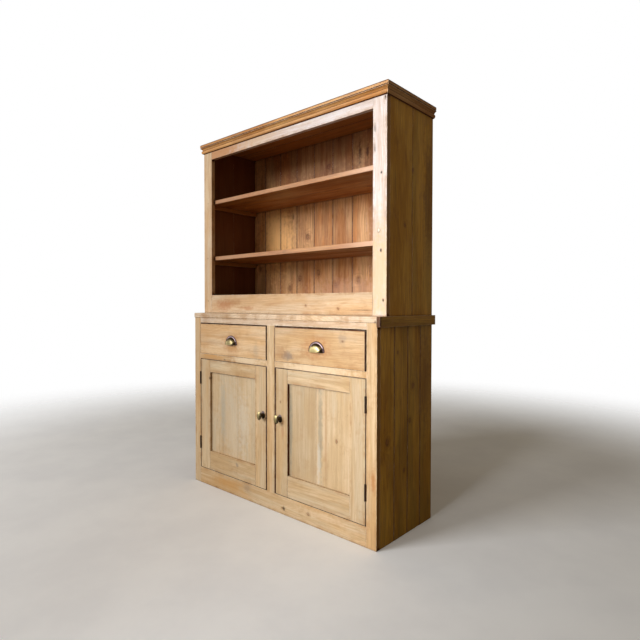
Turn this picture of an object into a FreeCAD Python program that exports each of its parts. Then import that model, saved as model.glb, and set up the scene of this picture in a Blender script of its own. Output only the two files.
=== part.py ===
import FreeCAD, Part
import math
import operator
import os
import Sketcher

# Two-part pine hutch, in millimetres. The lower part is a cupboard with two drawers over two
# panelled doors; the upper part is an open rack of shelves with a mitred cornice.
# The floor is Z = 0, the front faces -Y, and the origin is the middle of the footprint.

# Driving sizes: name, value and what it measures
SIZES = [
    ("case_width", 1270, "base and rack, over their stiles"),
    ("case_depth", 445, "base, front of the frame to the back"),
    ("case_height", 936, "base, floor to the underside of the worktop"),
    ("frame_thickness", 22, "stiles and rails of both face frames"),
    ("stile_width", 52.5, "outer stiles of the base"),
    ("muntin_width", 56, "upright between the doors"),
    ("muntin_offset", 2, "muntin right of the middle"),
    ("top_rail_height", 28, "base rail above the drawers"),
    ("drawer_opening", 174, "clear height for a drawer"),
    ("mid_rail_height", 30, "base rails under the drawers"),
    ("bottom_rail_height", 88, "base rail at the floor"),
    ("tenon_thickness", 8, "tenons of the face frames"),
    ("tenon_length", 20, "stub tenons of the face frames"),
    ("tenon_shoulder", 4, "shoulder above and below a tenon"),
    ("mortise_end_gap", 1, "space past the end of every tenon"),
    ("side_thickness", 18, "boards of the sides"),
    ("back_thickness", 12, "boards of the backs"),
    ("tongue_length", 5, "tongue of a tongued board"),
    ("tongue_end_gap", 0.5, "space past the end of a tongue"),
    ("board_edge_bevel", 2, "bevel on each show edge of a tongued board"),
    ("bottom_thickness", 18, "bottom boards of the base"),
    ("worktop_thickness", 26, "boards of the worktop"),
    ("worktop_overhang", 5, "worktop past the front of the frame"),
    ("worktop_nose_radius", 4, "rounded front edges of the worktop"),
    ("end_strip_thickness", 17, "strip nailed on the right end of the worktop"),
    ("end_strip_height", 44, "the same strip, upright"),
    ("bearer_size", 22, "square bearers under boards and shelves"),
    ("cupboard_shelf_thickness", 18, "shelf inside the cupboard"),
    ("cupboard_shelf_height", 330, "top of that shelf, above the bottom boards"),
    ("cupboard_shelf_setback", 48, "front of that shelf behind the frame"),
    ("runner_thickness", 22, "drawer runners"),
    ("runner_width", 26, "bearing width of a runner under a drawer side"),
    ("guide_height", 20, "drawer guides on the runners"),
    # drawers
    ("drawer_side_gap", 5, "half the play of a drawer between its guides"),
    ("drawer_offset", 3, "drawers left of the middle of their openings"),
    ("drawer_floor_gap", 0.6, "drawer above its runners"),
    ("drawer_head_gap", 5, "drawer front below the top rail"),
    ("drawer_front_thickness", 22, "drawer fronts"),
    ("drawer_length", 412, "front face to the tail of the sides"),
    ("drawer_side_thickness", 12, "drawer sides and backs"),
    ("drawer_side_height", 148, "drawer sides"),
    ("drawer_bottom_thickness", 6, "drawer bottoms"),
    ("drawer_groove_height", 10, "groove above the lower edge of the side"),
    ("drawer_groove_depth", 5, "groove for the drawer bottom"),
    ("drawer_bottom_play", 1, "space past the edge of the bottom in its groove"),
    ("dovetail_length", 16, "lapped tails into the drawer front"),
    ("dovetail_neck", 20, "height of a tail at its neck"),
    # cup pulls
    ("pull_width", 98, "cup pull over its flange"),
    ("pull_reach", 20, "front of the cup from the drawer front"),
    ("pull_flange", 10, "flat flange round the cup"),
    ("pull_wall", 2, "metal of the cup and flange"),
    ("pull_bevel", 7, "bevel between the side and the face of the cup"),
    ("pull_rise", 2, "middle of the pull above the middle of the drawer front"),
    # doors
    ("door_gap", 6, "door to the upright beside it, each side"),
    ("door_head_gap", 2.5, "door below the rail"),
    ("door_floor_gap", 3, "door above the bottom rail"),
    ("door_thickness", 22, "stiles and rails of the doors"),
    ("door_stile_width", 82, "stiles of the doors"),
    ("door_top_rail_height", 68, "top rails of the doors"),
    ("door_bottom_rail_height", 102, "bottom rails of the doors"),
    ("door_tenon_length", 45, "tenons of the door rails"),
    ("door_tenon_shoulder", 14, "shoulder of a door tenon away from the panel"),
    ("panel_recess", 12, "panel behind the face of its door"),
    ("panel_thickness", 6, "boards of the panels and tenons of the doors"),
    ("panel_groove_depth", 10, "groove round the panel"),
    ("panel_play", 1.5, "space past the edge of a panel in its groove"),
    # hinges
    ("hinge_length", 70, "butt hinges"),
    ("hinge_setoff", 2, "hinge from the sight line of the nearer rail"),
    ("leaf_thickness", 2, "leaves of the hinges"),
    ("leaf_reach", 18, "leaf behind the face of the door"),
    ("knuckle_radius", 4, "barrel of a hinge"),
    ("knuckle_standout", 3.2, "hinge axis in front of the face"),
    ("knuckle_play", 0.6, "space between two knuckles"),
    ("notch_play", 0.5, "space in front of the notch for the other leaf's knuckle"),
    ("pin_radius", 2, "hinge pins"),
    ("pin_play", 0.05, "running clearance round a hinge pin"),
    # turn knobs and their catches
    ("knob_length", 43, "oval head of a turn knob, upright at rest"),
    ("knob_breadth", 32, "the same head, across"),
    ("knob_end_radius", 13, "the narrow ends of the same head"),
    ("knob_reach", 32, "face of the knob from the face of the door"),
    ("knob_head", 9, "thickness of the knob's head"),
    ("knob_neck_radius", 6, "neck of the knob"),
    ("knob_gap", 0.3, "neck of the knob in front of its plate"),
    ("plate_length", 39, "oval plate on the door round a knob's spindle"),
    ("plate_breadth", 28, "the same plate, across"),
    ("plate_end_radius", 11, "the narrow ends of the same plate"),
    ("plate_thickness", 3.5, "the same plate"),
    ("knob_height", 369, "knob above the lower edge of the door"),
    ("left_knob_inset", 23, "left knob from the meeting edge"),
    ("right_knob_inset", 31, "right knob from the meeting edge"),
    ("spindle_radius", 4, "spindle through the door"),
    ("spindle_play", 0.1, "clearance round the spindle"),
    ("spindle_stub", 3, "spindle past the catch bar"),
    ("tang_width", 5.6, "squared end of the spindle in the catch bar"),
    ("catch_gap", 1, "catch bar behind the door"),
    ("catch_thickness", 4, "catch bars"),
    ("catch_width", 16, "catch bars"),
    ("catch_corner", 4, "corners cut off at the tip of a catch bar"),
    ("catch_overlap", 12, "catch bar behind the muntin when turned"),
    # rack
    ("rack_setback", 65, "front of the rack behind the front of the base"),
    ("rack_height", 952, "rack below its top boards"),
    ("rack_stile_width", 70, "outer stiles of the rack"),
    ("rack_top_rail_height", 77, "top rail of the rack, partly behind the cornice"),
    ("rack_bottom_rail_height", 101, "bottom rail of the rack"),
    ("rack_top_thickness", 16, "top boards of the rack"),
    ("rack_floor_thickness", 18, "floor boards of the rack"),
    ("shelf_thickness", 22, "shelves of the rack"),
    ("lower_shelf_height", 323, "top of the lower shelf above the worktop"),
    ("upper_shelf_height", 645, "top of the upper shelf above the worktop"),
    ("shelf_nose_radius", 3, "eased front edges of the shelves"),
    # cornice
    ("cornice_height", 52, "cornice, bottom edge to top"),
    ("cornice_projection", 17, "widest point of the cornice"),
    # making
    ("overrun", 5, "cutters past the face that they cut"),
]

TENON_THICKNESS_PLACE_SHARE = 0.5
BASE_SIDE_BOARDS = 4
BASE_BACK_BOARDS = 8
BASE_BOTTOM_BOARDS = 3
WORKTOP_BOARDS = 3
RACK_TOP_BOARDS = 3
RACK_FLOOR_BOARDS = 2
RACK_SIDE_BOARDS = 2
# Widths of the boards that close the rack's back, left to right
RACK_BACK_SHARES = [0.081] + [0.111] * 8 + [0.031]
# Where the joint between a panel's two boards falls, from the hinge side
LEFT_PANEL_SHARE = 0.6
RIGHT_PANEL_SHARE = 0.54
DOVETAIL_SHARES = [0.28, 0.55, 0.82]
DOVETAIL_SLOPE_SHARE = 1 / 6
KNUCKLES = 3
FRAME_KNUCKLES = (0, 2)
DOOR_KNUCKLES = (1,)
# Cornice, from its bottom edge: projection share, height share, and for a curve that starts
# there its radius as a share of the height and the side that its centre lies on
CORNICE_SHARES = [
    (0.00, 0.00),
    (0.12, 0.00, 0.20, "left"),
    (0.65, 0.16),
    (0.65, 0.27, 0.16, "left"),
    (0.30, 0.38),
    (0.38, 0.42, 0.30, "right"),
    (1.00, 0.60),
    (1.00, 0.645),
    (0.82, 0.665),
    (0.82, 0.70),
    (0.97, 0.72),
    (0.97, 0.93, 0.09, "left"),
    (0.80, 1.00),
    (0.00, 1.00),
]

doc = FreeCAD.newDocument("Hutch")
sheet = doc.addObject("Spreadsheet::Sheet", "Sizes")
parts = {}


# Sizes and formulas


class Size:
    """A length that knows its value and the formula that gives it from the sheet."""

    def __init__(self, value, formula):
        self.value = value
        self.formula = formula

    def __add__(self, other):
        return combine(self, "+", other)

    def __radd__(self, other):
        return combine(other, "+", self)

    def __sub__(self, other):
        return combine(self, "-", other)

    def __mul__(self, other):
        return combine(self, "*", other)

    def __rmul__(self, other):
        return combine(other, "*", self)

    def __truediv__(self, other):
        return combine(self, "/", other)

    def __neg__(self):
        return combine(-1, "*", self)


OPERATIONS = {"+": operator.add, "-": operator.sub, "*": operator.mul, "/": operator.truediv}


def combine(first, sign, second):
    """Joins two sizes, or a size and a plain factor, in value and in formula."""
    first, second = (item if isinstance(item, Size) else Size(item, repr(item)) for item in (first, second))
    value = OPERATIONS[sign](first.value, second.value)
    return Size(value, f"({first.formula} {sign} {second.formula})")


class Named:
    """The driving sizes, by name."""


size = Named()
for row, (name, value, meaning) in enumerate(SIZES, start=1):
    sheet.set(f"A{row}", name)
    sheet.set(f"B{row}", str(value))
    sheet.set(f"C{row}", meaning)
    sheet.setAlias(f"B{row}", name)
    setattr(size, name, Size(value, f"Sizes.{name}"))
doc.recompute()
ZERO = Size(0, "0")


# Ways to make a piece


def ordered(pair):
    """The two ends of a span, the lower first."""
    return sorted(pair, key=lambda end: end.value)


def block(label, x, y, z):
    """Square-edged piece between two places on each axis."""
    box = doc.addObject("Part::Box", label)
    for side, axis, span in (("Length", "x", x), ("Width", "y", y), ("Height", "z", z)):
        low, high = ordered(span)
        box.setExpression(side, (high - low).formula)
        box.setExpression(f"Placement.Base.{axis}", low.formula)
    return box


def upright_rod(label, radius, x, y, z):
    """Round rod along Z."""
    low, high = ordered(z)
    rod = doc.addObject("Part::Cylinder", label)
    rod.setExpression("Radius", radius.formula)
    rod.setExpression("Height", (high - low).formula)
    for axis, place in (("x", x), ("y", y), ("z", low)):
        rod.setExpression(f"Placement.Base.{axis}", place.formula)
    return rod


def level_rod(label, radius, x, y, z):
    """Round rod along Y."""
    low, high = ordered(y)
    rod = doc.addObject("Part::Cylinder", label)
    rod.Placement = FreeCAD.Placement(FreeCAD.Vector(), FreeCAD.Rotation(FreeCAD.Vector(1, 0, 0), -90))
    rod.setExpression("Radius", radius.formula)
    rod.setExpression("Height", (high - low).formula)
    for axis, place in (("x", x), ("y", low), ("z", z)):
        rod.setExpression(f"Placement.Base.{axis}", place.formula)
    return rod


def arc_between(start, end, radius, centre_side):
    """The short arc from one point to another, its centre left or right of the way along."""
    chord = end - start
    normal = FreeCAD.Vector(-chord.y, chord.x, 0).normalize()
    height = math.sqrt(radius ** 2 - (chord.Length / 2) ** 2)
    centre = (start + end) / 2 + normal * (height if centre_side == "left" else -height)
    ends = (start, end) if centre_side == "left" else (end, start)
    angles = [math.atan2(point.y - centre.y, point.x - centre.x) for point in ends]
    circle = Part.Circle(centre, FreeCAD.Vector(0, 0, 1), radius)
    return Part.ArcOfCircle(circle, *angles)


def outline_sketch(body, plane, outline):
    """Closed outline on a plane of its body, each corner tied to the sheet.

    A corner is (across, along), or (across, along, radius, centre_side) where an arc starts.
    """
    sketch = body.newObject("Sketcher::SketchObject", body.Name + "_outline")
    origin_plane = next(item for item in body.Origin.OriginFeatures if item.Role == plane + "_Plane")
    sketch.AttachmentSupport = [(origin_plane, "")]
    sketch.MapMode = "FlatFace"
    points = [FreeCAD.Vector(corner[0].value, corner[1].value, 0) for corner in outline]
    ends = []
    for index, corner in enumerate(outline):
        start, end = points[index], points[(index + 1) % len(points)]
        if len(corner) == 2:
            sketch.addGeometry(Part.LineSegment(start, end), False)
            ends.append((1, 2))
        else:
            sketch.addGeometry(arc_between(start, end, corner[2].value, corner[3]), False)
            ends.append((1, 2) if corner[3] == "left" else (2, 1))
    for index in range(len(outline)):
        following = (index + 1) % len(outline)
        joint = (index, ends[index][1], following, ends[following][0])
        sketch.addConstraint(Sketcher.Constraint("Coincident", *joint))
    for index, corner in enumerate(outline):
        for kind, place in (("DistanceX", corner[0]), ("DistanceY", corner[1])):
            limit = Sketcher.Constraint(kind, -1, 1, index, ends[index][0], float(place.value))
            tie(sketch, limit, place)
        if len(corner) > 2:
            tie(sketch, Sketcher.Constraint("Radius", index, corner[2].value), corner[2])
    return sketch


def tie(sketch, constraint, place):
    """Adds a constraint and ties it to the sheet."""
    number = sketch.addConstraint(constraint)
    sketch.setExpression(f"Constraints[{number}]", place.formula)


def extruded(label, plane, outline, span):
    """Piece with one outline along its whole length."""
    low, high = ordered(span)
    body = doc.addObject("PartDesign::Body", label)
    sketch = outline_sketch(body, plane, outline)
    pad = body.newObject("PartDesign::Pad", label + "_pad")
    pad.Profile = sketch
    pad.setExpression("Length", (high - low).formula)
    # A sketch on XZ looks along -Y, so its pad starts from the far end
    axis, start = {"XY": ("z", low), "YZ": ("x", low), "XZ": ("y", high)}[plane]
    body.setExpression(f"Placement.Base.{axis}", start.formula)
    return body


def turned(label, outline, angle, x, y, z):
    """Piece turned about a line along Y; its outline gives radius and place along that line."""
    body = doc.addObject("PartDesign::Body", label)
    sketch = outline_sketch(body, "XY", outline)
    turn = body.newObject("PartDesign::Revolution", label + "_turn")
    turn.Profile = sketch
    turn.ReferenceAxis = (sketch, ["V_Axis"])
    turn.Angle = angle
    turn.Reversed = True
    for axis, place in (("x", x), ("y", y), ("z", z)):
        body.setExpression(f"Placement.Base.{axis}", place.formula)
    return body


def joined(label, pieces):
    """One solid from pieces that meet."""
    union = doc.addObject("Part::MultiFuse", label)
    union.Shapes = pieces
    union.Refine = True
    return union


def carved(label, base, cutters):
    """A piece with everything that the cutters cover taken away."""
    cut = doc.addObject("Part::Cut", label)
    cut.Base = base
    cut.Tool = cutters[0] if len(cutters) == 1 else joined(label + "_cutters", cutters)
    return cut


def part(name, *pieces):
    """Names one node, of one piece or of several separate ones."""
    if len(pieces) == 1:
        node = pieces[0]
    else:
        node = doc.addObject("Part::Compound", name + "_set")
        node.Links = list(pieces)
    node.Label = name
    parts[name] = node
    return node


# Places that several pieces share

half_width = size.case_width / 2
front = (size.knob_reach - size.case_depth) / 2
back = front + size.case_depth
frame_back = front + size.frame_thickness
back_front = back - size.back_thickness
inner_half_width = half_width - size.side_thickness
opening_half_width = half_width - size.stile_width
half_muntin = size.muntin_width / 2
muntin_edges = {-1: size.muntin_offset - half_muntin, 1: size.muntin_offset + half_muntin}
top_rail_low = size.case_height - size.top_rail_height
mid_rail_top = top_rail_low - size.drawer_opening
mid_rail_low = mid_rail_top - size.mid_rail_height
bottom_rail_top = size.bottom_rail_height
worktop_top = size.case_height + size.worktop_thickness
tenon_front = front + (size.frame_thickness - size.tenon_thickness) * TENON_THICKNESS_PLACE_SHARE
tenon_back = tenon_front + size.tenon_thickness
door_low = bottom_rail_top + size.door_floor_gap
door_top = mid_rail_low - size.door_head_gap
panel_low = door_low + size.door_bottom_rail_height
panel_top = door_top - size.door_top_rail_height
panel_front = front + size.panel_recess
panel_back = panel_front + size.panel_thickness
knob_level = door_low + size.knob_height
rack_front = front + size.rack_setback
rack_frame_back = rack_front + size.frame_thickness
rack_top = worktop_top + size.rack_height
rack_opening_low = worktop_top + size.rack_bottom_rail_height
rack_opening_top = rack_top - size.rack_top_rail_height
rack_half_opening = half_width - size.rack_stile_width
whole_top = rack_top + size.rack_top_thickness
cornice_low = whole_top - size.cornice_height
cupboard_shelf_top = bottom_rail_top + size.cupboard_shelf_height
cupboard_shelf_low = cupboard_shelf_top - size.cupboard_shelf_thickness
cupboard_shelf_front = frame_back + size.cupboard_shelf_setback
lower_shelf_top = worktop_top + size.lower_shelf_height
upper_shelf_top = worktop_top + size.upper_shelf_height
SIDES = (("left", -1), ("right", 1))


# Joints of the face frames


def level_tenon(label, shoulder, direction, rail, frame_front, extra=ZERO):
    """Stub tenon at the end of a rail, or with extra length its mortise."""
    tip = shoulder + (size.tenon_length + extra) * direction
    low, high = rail[0] + size.tenon_shoulder, rail[1] - size.tenon_shoulder
    near = frame_front + (size.frame_thickness - size.tenon_thickness) * TENON_THICKNESS_PLACE_SHARE
    return block(label, (shoulder, tip), (near, near + size.tenon_thickness), (low, high))


def level_mortise(label, shoulder, direction, rail, frame_front):
    return level_tenon(label, shoulder, direction, rail, frame_front, size.mortise_end_gap)


def rail_mortises(name, edge, direction, rails, frame_front):
    """Mortises in a stile for all its rails."""
    return [
        level_mortise(f"{name}_{rail}_mortise", edge, direction, span, frame_front)
        for rail, span in rails.items()
    ]


def upright_tenon(label, shoulder, direction, extra=ZERO):
    """Stub tenon at the top or foot of the muntin, or with extra length its mortise."""
    tip = shoulder + (size.tenon_length + extra) * direction
    width = half_muntin - size.tenon_shoulder
    span = (size.muntin_offset - width, size.muntin_offset + width)
    return block(label, span, (tenon_front, tenon_back), (shoulder, tip))


def frame_rail(label, x, z, frame_front):
    """Rail of a face frame with a stub tenon at each end."""
    low, high = x
    depth = (frame_front, frame_front + size.frame_thickness)
    pieces = [
        block(label + "_board", x, depth, z),
        level_tenon(label + "_left_tenon", low, -1, z, frame_front),
        level_tenon(label + "_right_tenon", high, 1, z, frame_front),
    ]
    return joined(label + "_joined", pieces)


def make_base_frame():
    """Stiles, rails and muntin of the base, with the hinge seats cut in the stiles."""
    rails = {
        "top": (top_rail_low, size.case_height),
        "mid": (mid_rail_low, mid_rail_top),
        "bottom": (ZERO, bottom_rail_top),
    }
    height = (ZERO, size.case_height)
    for side, sign in SIDES:
        edge = opening_half_width * sign
        name = f"base_stile_{side}"
        board = block(name + "_board", (half_width * sign, edge), (front, frame_back), height)
        cutters = rail_mortises(name, edge, sign, rails, front)
        for place, (low, high) in hinge_spans().items():
            seat = (edge, edge + size.leaf_thickness * sign)
            reach = (front - size.overrun, front + size.leaf_reach)
            cutters.append(block(f"{name}_{place}_hinge_seat", seat, reach, (low, high)))
        part(name, carved(name + "_carved", board, cutters))

    opening = (-opening_half_width, opening_half_width)
    top = frame_rail("base_top_rail", opening, rails["top"], front)
    mortise = upright_tenon("base_top_rail_mortise", top_rail_low, 1, size.mortise_end_gap)
    part("base_top_rail", carved("base_top_rail_carved", top, [mortise]))
    bottom = frame_rail("base_bottom_rail", opening, rails["bottom"], front)
    mortise = upright_tenon("base_bottom_rail_mortise", bottom_rail_top, -1, size.mortise_end_gap)
    part("base_bottom_rail", carved("base_bottom_rail_carved", bottom, [mortise]))
    left = frame_rail("base_left_mid_rail", (-opening_half_width, muntin_edges[-1]), rails["mid"], front)
    right = frame_rail("base_right_mid_rail", (muntin_edges[1], opening_half_width), rails["mid"], front)
    part("base_mid_rails", left, right)

    muntin = joined("base_muntin_joined", [
        block("base_muntin_board", (muntin_edges[-1], muntin_edges[1]), (front, frame_back), (bottom_rail_top, top_rail_low)),
        upright_tenon("base_muntin_top_tenon", top_rail_low, 1),
        upright_tenon("base_muntin_foot_tenon", bottom_rail_top, -1),
    ])
    cutters = [
        level_mortise(f"base_muntin_{side}_mortise", muntin_edges[sign], -sign, rails["mid"], front)
        for side, sign in SIDES
    ]
    part("base_muntin", carved("base_muntin_carved", muntin, cutters))


# Boarded walls


def tongued_board(label, across, through, along_y, groove, tongue, z):
    """Upright board with bevelled show edges, a groove on its low edge and a tongue on its high one.

    through is (show face, hidden face).
    """
    low, high = across
    show, hidden = through
    depth = hidden - show
    direction = 1 if depth.value > 0 else -1
    bevel = size.board_edge_bevel
    shoulder = show + bevel * direction
    near = show + depth / 3
    far = show + depth * 2 / 3
    groove_end = low + size.tongue_length + size.tongue_end_gap
    tongue_end = high + size.tongue_length
    outline = [(low + bevel, show), (high - bevel, show), (high, shoulder)]
    if tongue:
        outline += [(high, near), (tongue_end, near), (tongue_end, far), (high, far)]
    outline += [(high, hidden), (low, hidden)]
    if groove:
        outline += [(low, far), (groove_end, far), (groove_end, near), (low, near)]
    outline.append((low, shoulder))
    if along_y:
        outline = [(place, width) for width, place in outline]
    return extruded(label, "XY", outline, z)


def boarded_wall(name, across, through, along_y, shares, z):
    """Wall of upright tongued boards, their widths given as shares of it."""
    low, high = across
    width = high - low
    edges = [sum(shares[:count]) for count in range(len(shares))] + [1]
    boards = []
    for number, (start, end) in enumerate(zip(edges, edges[1:])):
        span = (low + width * start, low + width * end)
        kind = dict(groove=number > 0, tongue=number < len(shares) - 1)
        boards.append(tongued_board(f"{name}_board_{number + 1}", span, through, along_y, z=z, **kind))
    part(name, *boards)


def flat_boards(name, count, x, y, z):
    """Boards that lie side by side and run the width of the hutch."""
    low, high = ordered(y)
    width = (high - low) / count
    boards = [
        block(f"{name}_board_{number + 1}", x, (low + width * number, low + width * (number + 1)), z)
        for number in range(count)
    ]
    part(name, *boards)


def make_base_case():
    """Sides, back, bottom and bearers of the base."""
    height = (ZERO, size.case_height)
    equal_shares = [1 / BASE_SIDE_BOARDS] * BASE_SIDE_BOARDS
    for side, sign in SIDES:
        through = (half_width * sign, inner_half_width * sign)
        boarded_wall(f"base_side_{side}", (frame_back, back), through, True, equal_shares, height)
    back_shares = [1 / BASE_BACK_BOARDS] * BASE_BACK_BOARDS
    inside = (-inner_half_width, inner_half_width)
    boarded_wall("base_back_boards", inside, (back_front, back), False, back_shares, height)
    bottom = (bottom_rail_top - size.bottom_thickness, bottom_rail_top)
    flat_boards("base_bottom_boards", BASE_BOTTOM_BOARDS, inside, (frame_back, back_front), bottom)
    shelf = (cupboard_shelf_low, cupboard_shelf_top)
    part("cupboard_shelf", block("cupboard_shelf_board", inside, (cupboard_shelf_front, back_front), shelf))


def make_bearers():
    """Square bearers on the sides, under every board that spans the inside."""
    carried = [
        ("bottom", bottom_rail_top - size.bottom_thickness, frame_back),
        ("cupboard_shelf", cupboard_shelf_low, cupboard_shelf_front),
        ("rack_floor", rack_opening_low - size.rack_floor_thickness, rack_frame_back),
        ("lower_shelf", lower_shelf_top - size.shelf_thickness, rack_frame_back),
        ("upper_shelf", upper_shelf_top - size.shelf_thickness, rack_frame_back),
    ]
    bearers = []
    for name, top, near in carried:
        for side, sign in SIDES:
            x = (inner_half_width * sign, (inner_half_width - size.bearer_size) * sign)
            z = (top - size.bearer_size, top)
            bearers.append(block(f"{name}_{side}_bearer", x, (near, back_front), z))
    part("shelf_bearers", *bearers)


def nosed_board(label, x, y, z, radius):
    """Board with its two long front edges rounded."""
    near, far = ordered(y)
    low, high = ordered(z)
    outline = [
        (near + radius, low),
        (far, low),
        (far, high),
        (near + radius, high, radius, "left"),
        (near, high - radius),
        (near, low + radius, radius, "left"),
    ]
    return extruded(label, "YZ", outline, x)


def make_worktop():
    """Worktop boards, the front one with a rounded nose, and the strip on the right end."""
    near = front - size.worktop_overhang
    width = (back - near) / WORKTOP_BOARDS
    x = (-half_width, half_width)
    z = (size.case_height, worktop_top)
    boards = [nosed_board("worktop_board_1", x, (near, near + width), z, size.worktop_nose_radius)]
    for number in range(1, WORKTOP_BOARDS):
        y = (near + width * number, near + width * (number + 1))
        boards.append(block(f"worktop_board_{number + 1}", x, y, z))
    part("worktop_boards", *boards)
    strip_x = (half_width, half_width + size.end_strip_thickness)
    strip_z = (worktop_top - size.end_strip_height, worktop_top)
    strip = nosed_board("worktop_end_strip_board", strip_x, (near, back), strip_z, size.worktop_nose_radius)
    part("worktop_end_strip", strip)


def make_drawer_supports():
    """Runners that carry the drawers, guides beside them and kickers above them."""
    y = (frame_back, back_front)
    overlap = size.drawer_side_gap + size.runner_width
    for name, reach, z in (
        ("runner", overlap, (mid_rail_top - size.runner_thickness, mid_rail_top)),
        ("kicker", overlap, (top_rail_low, size.case_height)),
        ("guide", ZERO, (mid_rail_top, mid_rail_top + size.guide_height)),
    ):
        outer = opening_half_width - reach
        pieces = [
            block(f"left_{name}", (-inner_half_width, -outer), y, z),
            block(f"middle_{name}", (muntin_edges[-1] - reach, muntin_edges[1] + reach), y, z),
            block(f"right_{name}", (outer, inner_half_width), y, z),
        ]
        part(f"drawer_{name}s", *pieces)


# Drawers


def dovetail(root, tip, centre):
    """Corners of one tail: upper neck, upper end, lower end and lower neck."""
    direction = 1 if tip.value > root.value else -1
    neck = size.dovetail_neck / 2
    end = neck + (tip - root) * (DOVETAIL_SLOPE_SHARE * direction)
    return [(root, centre + neck), (tip, centre + end), (tip, centre - end), (root, centre - neck)]


def make_drawer(name, sign):
    """One drawer: lapped dovetails at the front, through dovetails at the back, bottom in grooves."""
    outer = (opening_half_width - size.drawer_side_gap) * sign - size.drawer_offset
    inner = muntin_edges[sign] + size.drawer_side_gap * sign - size.drawer_offset
    left, right = ordered((outer, inner))
    low = mid_rail_top + size.drawer_floor_gap
    side_top = low + size.drawer_side_height
    front_top = top_rail_low - size.drawer_head_gap
    front_back = front + size.drawer_front_thickness
    front_tip = front_back - size.dovetail_length
    tail_end = front + size.drawer_length
    back_face = tail_end - size.drawer_side_thickness
    centres = [low + size.drawer_side_height * share for share in DOVETAIL_SHARES]
    bottom_low = low + size.drawer_groove_height
    groove = (bottom_low, bottom_low + size.drawer_bottom_thickness)

    outline = [(front_back, low), (back_face, low)]
    for centre in centres:
        outline += reversed(dovetail(back_face, tail_end, centre))
    outline += [(back_face, side_top), (front_back, side_top)]
    for centre in reversed(centres):
        outline += dovetail(front_back, front_tip, centre)

    wood = []
    sockets = {"front": [], "back": []}
    for edge, face, inward in (("left", left, 1), ("right", right, -1)):
        inside = face + size.drawer_side_thickness * inward
        board = extruded(f"{name}_side_{edge}_board", "YZ", outline, (face, inside))
        groove_x = (inside - size.drawer_groove_depth * inward, inside + size.overrun * inward)
        groove_y = (front_back - size.overrun, tail_end + size.overrun)
        cutter = block(f"{name}_side_{edge}_groove", groove_x, groove_y, groove)
        wood.append(carved(f"{name}_side_{edge}", board, [cutter]))
        past = (face - size.overrun * inward, inside)
        for number, centre in enumerate(centres, start=1):
            for end, root, tip in (("front", front_back, front_tip), ("back", back_face, tail_end)):
                label = f"{name}_{end}_{edge}_socket_{number}"
                sockets[end].append(extruded(label, "YZ", dovetail(root, tip, centre), past))
    part(f"{name}_sides", *wood)

    board = block(f"{name}_front_board", (left, right), (front, front_back), (low, front_top))
    reach = size.drawer_side_thickness - size.drawer_groove_depth
    groove_y = (front_back - size.drawer_groove_depth, front_back + size.overrun)
    front_groove = block(f"{name}_front_groove", (left + reach, right - reach), groove_y, groove)
    part(f"{name}_front", carved(f"{name}_front_carved", board, sockets["front"] + [front_groove]))

    rear = block(f"{name}_back_board", (left, right), (back_face, tail_end), (groove[1], side_top))
    part(f"{name}_back", carved(f"{name}_back_carved", rear, sockets["back"]))
    bottom_x = (left + reach + size.drawer_bottom_play, right - reach - size.drawer_bottom_play)
    bottom_y = (front_back - size.drawer_groove_depth + size.drawer_bottom_play, tail_end)
    part(f"{name}_bottom", block(f"{name}_bottom_panel", bottom_x, bottom_y, groove))
    make_cup_pull(f"{name}_cup_pull", (left + right) / 2, (low + front_top) / 2)


def make_cup_pull(name, x, z):
    """Half a round cup with a flat flange, open below for the fingers."""
    rim = size.pull_width / 2
    side = rim - size.pull_flange
    face = side - size.pull_bevel
    wall = size.pull_wall
    # A wall of even thickness puts its inner bevel this much nearer to the axis
    corner = wall * (math.sqrt(2) - 1)
    bevel_start = size.pull_bevel - size.pull_reach
    outline = [
        (side - wall, ZERO),
        (rim, ZERO),
        (rim, -wall),
        (side, -wall),
        (side, bevel_start),
        (face, -size.pull_reach),
        (ZERO, -size.pull_reach),
        (ZERO, wall - size.pull_reach),
        (face - corner, wall - size.pull_reach),
        (side - wall, bevel_start + corner),
    ]
    part(name, turned(name + "_cup", outline, 180, x, front, z - rim / 2 + size.pull_rise))


# Doors


def hinge_spans():
    """Where the upper and lower hinges of a door stand."""
    upper_top = panel_top - size.hinge_setoff
    lower_low = panel_low + size.hinge_setoff
    return {
        "upper": (upper_top - size.hinge_length, upper_top),
        "lower": (lower_low, lower_low + size.hinge_length),
    }


def door_rail(label, x, z, panel_edge, direction):
    """Door rail with a tenon at each end and a groove along the edge that faces the panel."""
    low, high = ordered(x)
    far_edge = z[1] if direction < 0 else z[0]
    groove_end = panel_edge - size.panel_groove_depth * direction
    depth = (panel_front, panel_back)
    tenon_z = (groove_end, far_edge + size.door_tenon_shoulder * direction)
    groove_z = (groove_end, panel_edge + size.overrun * direction)
    pieces = [
        block(label + "_board", (low, high), (front, front + size.door_thickness), z),
        block(label + "_left_tenon", (low - size.door_tenon_length, low), depth, tenon_z),
        block(label + "_right_tenon", (high, high + size.door_tenon_length), depth, tenon_z),
    ]
    groove = block(label + "_groove", (low - size.overrun, high + size.overrun), depth, groove_z)
    return carved(label + "_carved", joined(label + "_joined", pieces), [groove])


def door_mortises(label, edge, direction):
    """Mortises in a door stile for both rails, and the groove for the panel between them."""
    depth = (panel_front, panel_back)
    mortise_x = (edge, edge + (size.door_tenon_length + size.mortise_end_gap) * direction)
    groove_x = (edge - size.overrun * direction, edge + size.panel_groove_depth * direction)
    groove_low, groove_high = panel_low - size.panel_groove_depth, panel_top + size.panel_groove_depth
    shoulder = size.door_tenon_shoulder
    return [
        block(label + "_top_mortise", mortise_x, depth, (groove_high, door_top - shoulder)),
        block(label + "_foot_mortise", mortise_x, depth, (door_low + shoulder, groove_low)),
        block(label + "_groove", groove_x, depth, (groove_low, groove_high)),
    ]


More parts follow.
